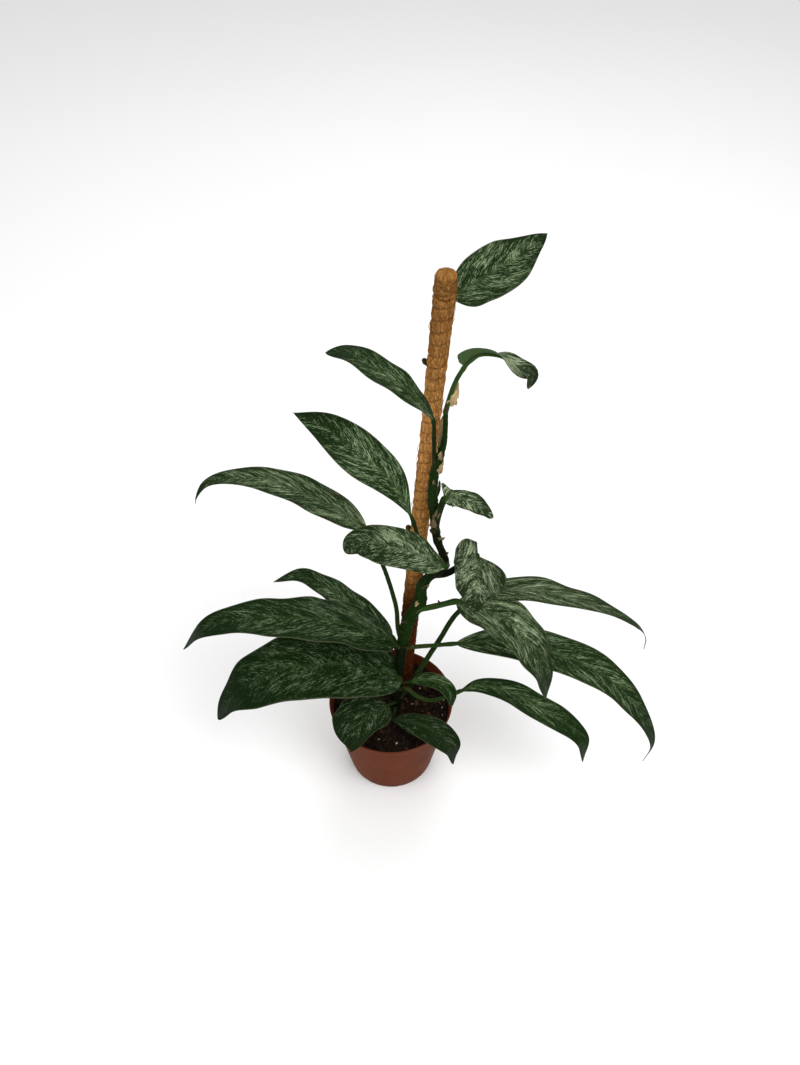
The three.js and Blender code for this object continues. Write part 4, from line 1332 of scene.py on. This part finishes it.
def add_flake(piece, start, length, width, lean, seed, light, slot):
    """A small torn flake of dry skin: a ragged, curled blade that grows from a place."""
    direction = np.array(lean, dtype=float)
    middle = start + 0.5 * length * unit(direction) + np.array([0, -FLAKE_SAG * length, 0])
    end = start + length * unit(direction)
    flake = {
        "rib": [start, middle, end], "face": [PLANT_FRONT + (0, 0, 0.3), PLANT_FRONT],
        "width": width, "outline": (0.35, 0.45), "fold": 22, "waves": (0.5, 1.5, seed),
    }
    add_blade(
        piece, flake, seed, dry_looks(light), FLAKE_CELL, FLAKE_CELLS_ACROSS, FLAKE_RAGGED, slot
    )


def build_flakes():
    """All the flakes of dry skin on stems and stalks, as one piece."""
    piece = Piece("dry_flakes", [MATERIALS["paper"], MATERIALS["stem"]])
    for number, (owner, height, side, length, width, lean, light, slot) in enumerate(FLAKES):
        start = seat_on(owner, height, side)
        seed = FLAKE_FIRST_SEED + number * FLAKE_SEED
        add_flake(piece, start, length, width, lean, seed, light, slot)
    piece.build("sheath")


# Coir pole

POLE_FOOT_POINT = np.array(POLE_FOOT, dtype=float)
POLE_AXIS = unit(np.array(POLE_TOP, dtype=float) - POLE_FOOT_POINT)
POLE_LENGTH = float(np.linalg.norm(np.array(POLE_TOP) - POLE_FOOT_POINT))
POLE_SIDEWAYS = unit(np.cross(POLE_AXIS, (0.0, 1.0, 0.0)))
POLE_FORWARD = np.cross(POLE_AXIS, POLE_SIDEWAYS)


def on_pole(height, radius, turn):
    """A point of the pole by its height along the axis, distance from it and turn about it."""
    out = np.cos(turn)[..., None] * POLE_SIDEWAYS + np.sin(turn)[..., None] * POLE_FORWARD
    return POLE_FOOT_POINT + height[..., None] * POLE_AXIS + radius[..., None] * out


def sleeve_radius(height):
    """The sleeve's radius without its relief: a slow waist and a wider cap."""
    narrowing = np.clip(height / (WAIST_SHARE * POLE_LENGTH), 0, 1)
    waist = SLEEVE_RADIUS_LOW + (SLEEVE_RADIUS_MIDDLE - SLEEVE_RADIUS_LOW) * narrowing
    shoulder = np.clip((POLE_LENGTH - height - CAP_LENGTH) / CAP_SHOULDER_LENGTH, 0, 1)
    return SLEEVE_RADIUS_CAP + (waist - SLEEVE_RADIUS_CAP) * shoulder


def thread_phase(height, turn):
    """0 and 1 at the thread, 0.5 halfway between two of its turns."""
    winding = (POLE_LENGTH - CAP_LENGTH - height) / THREAD_SPACING + turn / (2 * np.pi)
    return winding - np.floor(winding)


def coir_surface(height, turn):
    """The sleeve's radius, and the painted shade in its thread groove and neck, from 0 to 1."""
    below_cap = smooth_step(-1, 1, POLE_LENGTH - CAP_LENGTH - height + THREAD_SPACING * 0.5)
    phase = thread_phase(height, turn)
    groove = np.exp(-(np.minimum(phase, 1 - phase) / GROOVE_SHARE) ** 2) * below_cap
    past_neck = height - POLE_LENGTH + CAP_LENGTH + NECK_WAVE * np.sin(turn)
    neck = np.exp(-(past_neck / NECK_REACH) ** 2)
    x, y = np.cos(turn), np.sin(turn)
    lumps = value_noise(stack(height / LUMP_LENGTH, LUMPS_AROUND * x, LUMPS_AROUND * y), 3.0)
    strands = value_noise(stack(height / STRAND_LENGTH, STRANDS_AROUND * x, STRANDS_AROUND * y), 4.0)
    lumps = LUMP_HEIGHT * lumps + STRAND_HEIGHT * strands
    pillow = PILLOW_HEIGHT * np.sin(np.pi * phase) ** PILLOW_POWER * below_cap
    short = np.clip(CAP_ROUND - (POLE_LENGTH - height), 0, CAP_ROUND)
    rounding = CAP_ROUND - np.sqrt(CAP_ROUND ** 2 - short ** 2)
    cut = GROOVE_CUT * groove + NECK_CUT * neck + rounding
    radius = sleeve_radius(height) - PILLOW_HEIGHT + pillow + lumps - cut
    return radius, np.maximum(groove * GROOVE_SHADE, neck * NECK_SHADE)


def build_sleeve():
    """The coir sleeve, closed at its foot in the soil and over its cap."""
    piece = Piece("coir_sleeve_fine", [MATERIALS["coir"]])
    low = -SLEEVE_BELOW_SOIL
    rings = round((POLE_LENGTH - low) / COIR_STEP) + 1
    even = np.linspace(0, 1, rings)
    height = low + (POLE_LENGTH - low) * even
    top_share = smooth_step(POLE_LENGTH - CAP_ROUND, POLE_LENGTH, height)
    height = height + (POLE_LENGTH - height) * top_share * CAP_CROWDING
    turn = full_turn(COIR_SIDES)
    height, turn = np.broadcast_arrays(height[:, None], turn[None])
    radius, hollow = coir_surface(height, turn)
    crown = np.array(CAP_RING_SHARES)[:, None]
    crown_height = POLE_LENGTH + CAP_CROWN * (1 - crown ** 2) + 0 * turn[:1]
    height = np.vstack([height, crown_height])
    radius = np.vstack([radius, crown * radius[-1:]])
    hollow = np.vstack([hollow, 0 * crown_height])
    turn = np.vstack([turn, turn[:len(CAP_RING_SHARES)]])
    rings = len(height)
    points = on_pole(height, radius, turn).reshape(-1, 3)
    top = POLE_LENGTH + CAP_CROWN
    ends = np.stack([POLE_FOOT_POINT + low * POLE_AXIS, POLE_FOOT_POINT + top * POLE_AXIS])
    grain = stack(height, turn * SLEEVE_RADIUS_MIDDLE, 0).reshape(-1, 3)
    zone = stack(height / POLE_LENGTH, hollow, 0).reshape(-1, 3)
    grain = np.vstack([grain, grain[:1], grain[-1:]])
    zone = np.vstack([zone, zone[:1], zone[-1:]])
    piece.add(np.vstack([points, ends]), tube_faces(rings, COIR_SIDES), 0, grain, zone)
    piece.build("coir", "coir_sleeve")


def build_thread():
    """The thread that binds the sleeve: one helix, and two closed rings under the cap."""
    piece = Piece("binding_thread", [MATERIALS["thread"]])
    turns = (POLE_LENGTH - CAP_LENGTH - THREAD_FROM) / THREAD_SPACING
    turn = np.linspace(0, 2 * np.pi * turns, round(turns * THREAD_STEPS_PER_TURN))
    height = POLE_LENGTH - CAP_LENGTH - THREAD_SPACING * (turns - turn / (2 * np.pi))
    add_winding(piece, height, turn - 2 * np.pi * turns)
    ring = np.linspace(0, 2 * np.pi, THREAD_STEPS_PER_TURN + 1)[:-1]
    for shift in NECK_RINGS:
        height = POLE_LENGTH - CAP_LENGTH - NECK_WAVE * np.sin(ring) + shift
        add_winding(piece, height, ring, closed=True)
    piece.build("coir")


def add_winding(piece, height, turn, closed=False):
    """A thin round thread laid on the sleeve along heights and turns."""
    radius, _ = coir_surface(height, turn)
    centres = on_pole(height, radius + 0.5 * THREAD_RADIUS, turn)
    if closed:
        tangents = unit(np.roll(centres, -1, axis=0) - np.roll(centres, 1, axis=0))
    else:
        tangents = unit(np.gradient(centres, axis=0))
    out = unit(on_pole(height, radius + 1, turn) - on_pole(height, radius, turn))
    across = unit(np.cross(tangents, out))
    angles = full_turn(THREAD_SIDES)
    ring = out[:, None] * np.cos(angles)[:, None] - across[:, None] * np.sin(angles)[:, None]
    points = (centres[:, None] + THREAD_RADIUS * ring).reshape(-1, 3)
    count = len(centres)
    along = np.repeat(np.arange(count) * 0.9, THREAD_SIDES)
    around = np.tile(np.arange(THREAD_SIDES) * 0.3, count)
    zone = stack(np.repeat(height / POLE_LENGTH, THREAD_SIDES), THREAD_SHADE, 0)
    grain = stack(along, around, 5)
    if closed:
        index = np.arange(count * THREAD_SIDES).reshape(count, THREAD_SIDES)
        ahead = np.roll(index, -1, axis=0)
        after = np.roll(index, -1, axis=1)
        quads = np.stack([index, after, np.roll(ahead, -1, axis=1), ahead], axis=-1).reshape(-1, 4)
        piece.add(points, [quads], 0, grain, zone)
        return
    points = np.vstack([points, centres[[0, -1]]])
    grain = np.vstack([grain, grain[:1], grain[-1:]])
    zone = np.vstack([zone, zone[:1], zone[-1:]])
    piece.add(points, tube_faces(count, THREAD_SIDES), 0, grain, zone)


def build_coir_fibres():
    """Loose strands that lie along the sleeve and lift off it here and there."""
    piece = Piece("coir_fibres", [MATERIALS["coir"]])
    draw = np.random.default_rng(FIBRE_DRAW)
    share = np.linspace(0, 1, FIBRE_POINTS)
    for number in range(FIBRE_COUNT):
        length = draw.uniform(*FIBRE_LENGTHS)
        start = draw.uniform(2, POLE_LENGTH - length - 3)
        turn = draw.uniform(0, 2 * np.pi)
        drift = draw.normal(0, FIBRE_TURN)
        lifted = draw.random() < FIBRE_LIFTED_SHARE
        lift = draw.uniform(*(FIBRE_LIFTS if lifted else FIBRE_LOW_LIFTS))
        bend = np.sin(np.pi * share) if draw.random() < 0.5 else share ** 2
        height = start + length * share
        path_turn = turn + drift * share + 0.05 * np.sin(6 * share + number)
        radius, _ = coir_surface(height, path_turn)
        centres = on_pole(height, radius + FIBRE_RADIUS * 0.4 + lift * bend, path_turn)
        line = SmoothLine(centres[:: FIBRE_POINTS // 4])
        thick = draw.uniform(*FIBRE_THICKNESSES) * FIBRE_RADIUS
        height_share = height[FIBRE_POINTS // 2] / POLE_LENGTH
        add_tube(
            piece, line, lambda s, thick=thick: thick * (1 - 0.7 * s ** 3), FIBRE_SIDES, FIBRE_STEP,
            0, number * FIBRE_SEED, lambda s, place=height_share: stack(place + 0 * s, 0, 0),
        )
    add_cap_strands(piece)
    piece.build("coir")


def add_cap_strands(piece):
    """Strands that cross each other over the pole's cap, some of them darkened with painted shade."""
    draw = np.random.default_rng(CAP_STRAND_DRAW)
    share = np.linspace(0, 1, 5)
    for number in range(CAP_STRAND_COUNT):
        middle = POLE_LENGTH - draw.uniform(5, CAP_LENGTH - 3)
        rise = draw.uniform(-CAP_STRAND_RISE, CAP_STRAND_RISE)
        turn = draw.uniform(0, 2 * np.pi)
        drift = draw.uniform(*CAP_STRAND_TURNS) * draw.choice([-1, 1])
        lift = draw.uniform(*CAP_STRAND_LIFTS)
        # How much painted shade darkens this strand
        dark = draw.uniform(0, CAP_STRAND_DARKEST)
        height = np.minimum(middle + rise * (share - 0.5), POLE_LENGTH - 2)
        path_turn = turn + drift * share
        radius, _ = coir_surface(height, path_turn)
        radius = radius + 0.3 * FIBRE_RADIUS + lift * np.sin(np.pi * share)
        thick = draw.uniform(*CAP_STRAND_THICKNESSES) * FIBRE_RADIUS
        add_tube(
            piece, on_pole(height, radius, path_turn), lambda s, thick=thick: thick, FIBRE_SIDES,
            CAP_STRAND_STEP, 0, number * CAP_STRAND_SEED, lambda s, dark=dark: stack(1 + 0 * s, dark, 0),
        )


# Soil

def soil_height(x, y):
    """The soil's surface: the slow lumps of the solid, with crumbs of two sizes on them."""
    lumps = np.sin(0.21 * x + 1.3) * np.cos(0.17 * y) + 0.6 * np.sin(0.43 * x - 0.31 * y)
    lumps = lumps + 0.4 * np.cos(0.67 * y + 0.23 * x)
    crumbs = 0
    for height, size, seed in SOIL_CRUMBLE:
        crumbs = crumbs + height * value_noise(stack(x / size, y / size, 0), seed)
    return SOIL_LEVEL + SOIL_LUMP * 0.5 * lumps + crumbs


def pot_radius(height):
    """The radius of the pot's outer wall."""
    return POT_BASE_RADIUS + (POT_RIM_RADIUS - RIM_LIP_OUT - POT_BASE_RADIUS) * (height / POT_HEIGHT)


def soil_radius(height):
    """The radius of the soil, just inside the pot's wall."""
    return pot_radius(height) - POT_WALL - FIT_GAP


def build_soil():
    """The body of soil that fills the pot, with a crumbly top."""
    piece = Piece("soil_bed", [MATERIALS["soil"]])
    low = POT_FLOOR + FIT_GAP
    side_heights = [low, low + SOIL_FOOT_BEVEL, SOIL_LEVEL - SOIL_SIDE_BELOW_TOP]
    side_radii = [soil_radius(height) for height in side_heights]
    side_radii[0] -= SOIL_FOOT_INSET
    top_radii = np.linspace(soil_radius(SOIL_LEVEL) - SOIL_TOP_INSET, 1.0, SOIL_RINGS)
    turn = full_turn(SOIL_SIDES)
    radii = np.concatenate([side_radii, top_radii])[:, None]
    x, y = radii * np.cos(turn), radii * np.sin(turn)
    heights = soil_height(x, y)
    heights[:len(side_heights)] = np.array(side_heights)[:, None]
    rings = len(radii)
    points = stack(x, y, heights).reshape(-1, 3)
    ends = np.array([[0, 0, low], [0, 0, soil_height(np.zeros(1), np.zeros(1))[0]]])
    piece.add(np.vstack([points, ends]), tube_faces(rings, SOIL_SIDES))
    piece.build("soil", "soil")


def lump_shape():
    """A ball of small triangles, the start of every crumb, chip and grain."""
    ball = bmesh.new()
    bmesh.ops.create_icosphere(ball, subdivisions=2, radius=1)
    points = np.array([vertex.co[:] for vertex in ball.verts])
    faces = np.array([[vertex.index for vertex in face.verts] for face in ball.faces])
    ball.free()
    return points, faces


def soil_spot(draw, edge):
    """A random place on the soil, no nearer than edge to its border."""
    radius = (soil_radius(SOIL_LEVEL) - edge) * math.sqrt(draw.random())
    turn = draw.uniform(0, 2 * math.pi)
    return radius * math.cos(turn), radius * math.sin(turn)


def add_lump(piece, shape, spot, sizes, tilt, turn, seed, bumpy):
    """A ball stretched to three sizes, roughened, tilted and set into the soil."""
    ball, faces = shape
    points = ball * (1 + bumpy * value_noise(ball * 1.6 + seed, seed))[:, None]
    points = points * np.array(sizes)
    spin = Matrix.Rotation(turn, 3, "Z") @ Matrix.Rotation(tilt, 3, "X")
    points = points @ np.array(spin).T
    x, y = spot
    floor = soil_height(np.array([x]), np.array([y]))[0]
    lift = floor - points[:, 2].min() - LUMP_SINK * sizes[2]
    piece.add(points + (x, y, lift), [faces])


def scatter_lumps(name, material, count, seed, size_range, flatness, bumpy, spots):
    """Lumps of one kind, first at given spots and then anywhere on the soil."""
    piece = Piece(name, [MATERIALS[material]])
    draw = np.random.default_rng(seed)
    shape = lump_shape()
    for number in range(count):
        size = draw.uniform(*size_range)
        spot = spots[number] if number < len(spots) else soil_spot(draw, size + LUMP_FROM_EDGE)
        sizes = (size, size * draw.uniform(*LUMP_WIDTHS), size * draw.uniform(*flatness))
        tilt = draw.normal(0, LUMP_TILT)
        turn = draw.uniform(0, LUMP_TURN)
        add_lump(piece, shape, spot, sizes, tilt, turn, seed + number * LUMP_SEED, bumpy)
    piece.build("soil")


def build_soil_fibres():
    """Thin roots and bits of fibre that lie on the soil."""
    piece = Piece("soil_fibres", [MATERIALS["bark"]])
    draw = np.random.default_rng(SOIL_FIBRE_DRAW)
    steps = np.linspace(-0.5, 0.5, 5)
    for number in range(SOIL_FIBRE_COUNT):
        x, y = soil_spot(draw, SOIL_FIBRE_FROM_EDGE)
        turn = draw.uniform(0, 2 * math.pi)
        length = draw.uniform(*SOIL_FIBRE_LENGTHS)
        bend = draw.normal(0, SOIL_FIBRE_BEND)
        xs = x + length * steps * math.cos(turn) - bend * steps ** 2 * math.sin(turn)
        ys = y + length * steps * math.sin(turn) + bend * steps ** 2 * math.cos(turn)
        zs = soil_height(xs, ys) + 0.5 + 1.2 * np.cos(np.pi * steps) * draw.random()
        thick = draw.uniform(*SOIL_FIBRE_THICKNESSES)
        add_tube(
            piece, stack(xs, ys, zs), lambda s, thick=thick: thick * (1 - 0.6 * s),
            SOIL_FIBRE_SIDES, SOIL_FIBRE_STEP, 0, number,
        )
    piece.build("soil")


# Pot

def build_pot():
    """The pot: a turned shell with a stepped rim band and drain holes through its floor."""
    lip_foot = POT_HEIGHT - RIM_LIP_HEIGHT
    edge = POT_EDGE_ROUND
    outer = [
        (0.0, FOOT_HOLLOW), (POT_BASE_RADIUS - FOOT_BAND - 1, FOOT_HOLLOW),
        (POT_BASE_RADIUS - FOOT_BAND, 0.0),
        (POT_BASE_RADIUS - edge, 0.0), (POT_BASE_RADIUS - 0.4 * edge, 0.2 * edge),
        (POT_BASE_RADIUS, edge),
    ]
    wall = np.linspace(6, lip_foot - RIM_STEP_BELOW, WALL_RINGS_OUT)
    outer += [(pot_radius(z), z) for z in wall]
    lip = pot_radius(lip_foot) + RIM_LIP_OUT
    outer += [
        (pot_radius(lip_foot) + 0.05, lip_foot), (lip - 0.15, lip_foot + 0.35), (lip, lip_foot + 0.9),
        (POT_RIM_RADIUS - 0.05, POT_HEIGHT - 1.2), (POT_RIM_RADIUS - 0.1, POT_HEIGHT - 0.5),
        (POT_RIM_RADIUS - 0.4, POT_HEIGHT - 0.1), (POT_RIM_RADIUS - 0.75, POT_HEIGHT),
    ]
    inner = [
        (POT_RIM_RADIUS - 1.1, POT_HEIGHT - 0.1), (POT_RIM_RADIUS - POT_WALL + 0.05, POT_HEIGHT - 0.6),
    ]
    wall = np.linspace(POT_HEIGHT - 4, POT_FLOOR + edge, WALL_RINGS_IN)
    inner += [(pot_radius(z) - POT_WALL, z) for z in wall]
    inner += [(pot_radius(POT_FLOOR) - POT_WALL - edge, POT_FLOOR), (0.0, POT_FLOOR)]
    profile = np.array(outer[1:] + inner[:-1])
    turn = full_turn(POT_SIDES)
    radius = profile[:, 0][:, None]
    points = stack(radius * np.cos(turn), radius * np.sin(turn), profile[:, 1][:, None]).reshape(-1, 3)
    ends = np.array([[0, 0, outer[0][1]], [0, 0, inner[-1][1]]])
    piece = Piece("pot_shell", [MATERIALS["pot"]])
    piece.add(np.vstack([points, ends]), tube_faces(len(profile), POT_SIDES))
    pot = piece.build("pot", "pot")
    cut_drains(pot)


def cut_drains(pot):
    """Cuts the drain holes through the floor, and leaves no modifier behind."""
    cutter = bmesh.new()
    for number in range(DRAIN_COUNT):
        angle = 2 * math.pi * (number + 0.5) / DRAIN_COUNT
        centre = Vector((math.cos(angle), math.sin(angle), 0)) * DRAIN_CIRCLE_RADIUS * MM
        bmesh.ops.create_cone(
            cutter, cap_ends=True, segments=DRAIN_SIDES, radius1=DRAIN_RADIUS * MM,
            radius2=DRAIN_RADIUS * MM, depth=8 * POT_FLOOR * MM, matrix=Matrix.Translation(centre),
        )
    mesh = bpy.data.meshes.new("drain_cutter")
    cutter.to_mesh(mesh)
    cutter.free()
    tool = put_in_scene("drain_cutter", mesh)
    cut = pot.modifiers.new("drains", "BOOLEAN")
    cut.object = tool
    cut.solver = "EXACT"
    shape = pot.evaluated_get(bpy.context.evaluated_depsgraph_get())
    finished = bpy.data.meshes.new_from_object(shape)
    pot.modifiers.clear()
    pot.data = finished
    bpy.data.objects.remove(tool)
    finished.shade_smooth()
    finished.set_sharp_from_angle(angle=math.radians(40))


# Camera, floor and light

def build_stage():
    """A plain pale floor, soft light from large lamps, and the photo's view."""
    scene = bpy.context.scene
    shader = Shader("pale_floor", Roughness=0.9, Specular_IOR_Level=0.1)
    shader.colour(shader.mix(shader.noise(shader.place(), 1.5, 2), *FLOOR_GREYS))
    mesh = bpy.data.meshes.new("floor")
    corners = [(-1, -1), (1, -1), (1, 1), (-1, 1)]
    corners = [(x * FLOOR_REACH, y * FLOOR_REACH, FLOOR_LEVEL) for x, y in corners]
    mesh.from_pydata(corners, [], [(0, 1, 2, 3)])
    mesh.materials.append(shader.material)
    floor = put_in_scene("floor", mesh)

    world = bpy.data.worlds.new("studio")
    world.use_nodes = True
    backdrop = world.node_tree.nodes["Background"]
    backdrop.inputs["Color"].default_value = (1, 1, 1, 1)
    backdrop.inputs["Strength"].default_value = WORLD_STRENGTH
    scene.world = world

    for name, place, size, power in LAMPS:
        lamp = bpy.data.lights.new(name, "AREA")
        lamp.shape = "DISK"
        lamp.size = size
        lamp.energy = power
        holder = put_in_scene(name, lamp)
        holder.location = place
        aim = Vector(LAMP_AIM) - Vector(place)
        holder.rotation_euler = aim.to_track_quat("-Z", "Y").to_euler()

    camera = bpy.data.cameras.new("photo_view")
    camera.sensor_width = SENSOR
    camera.lens = SENSOR * FOCAL_PIXELS / PHOTO_HEIGHT
    holder = put_in_scene("photo_view", camera)
    holder.location = CAMERA_PLACE
    holder.rotation_euler = (math.radians(90 - CAMERA_DOWN), 0, 0)
    scene.camera = holder
    scene.view_settings.view_transform = "Standard"


build_stage()

MATERIALS = {
    "blade": blade_material(),
    "petiole": petiole_material(),
    "stem": stem_material(),
    "coir": coir_material("coir"),
    # The thread gets extra painted shade, as it lies in its groove
    "thread": coir_material("coir_thread", darker=0.3),
    "soil": soil_material("potting_mix", SOIL_STOPS),
    "bark": soil_material("bark_chip", BARK_STOPS),
    "perlite": soil_material("perlite_grain", PERLITE_STOPS, bump=0.0003),
    "pot": pot_material(),
    "paper": paper_material(),
    "stick": stick_material(),
}

for index, (leaf_name, leaf_shape) in enumerate(LEAVES.items(), start=1):
    build_leaf(leaf_name, leaf_shape, index)
for index, (sheath_name, sheath_shape) in enumerate(SHEATHS.items(), start=1):
    build_sheath(sheath_name, sheath_shape, index)
for index, (stem_name, stem_shape) in enumerate(STEMS.items(), start=1):
    build_stem(stem_name, stem_shape, index)
build_flakes()
build_sleeve()
build_thread()
build_coir_fibres()
build_soil()
for lump_row in LUMPS:
    scatter_lumps(*lump_row)
build_soil_fibres()
build_pot()

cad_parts["pole_stick"].material_slots[0].material = MATERIALS["stick"]
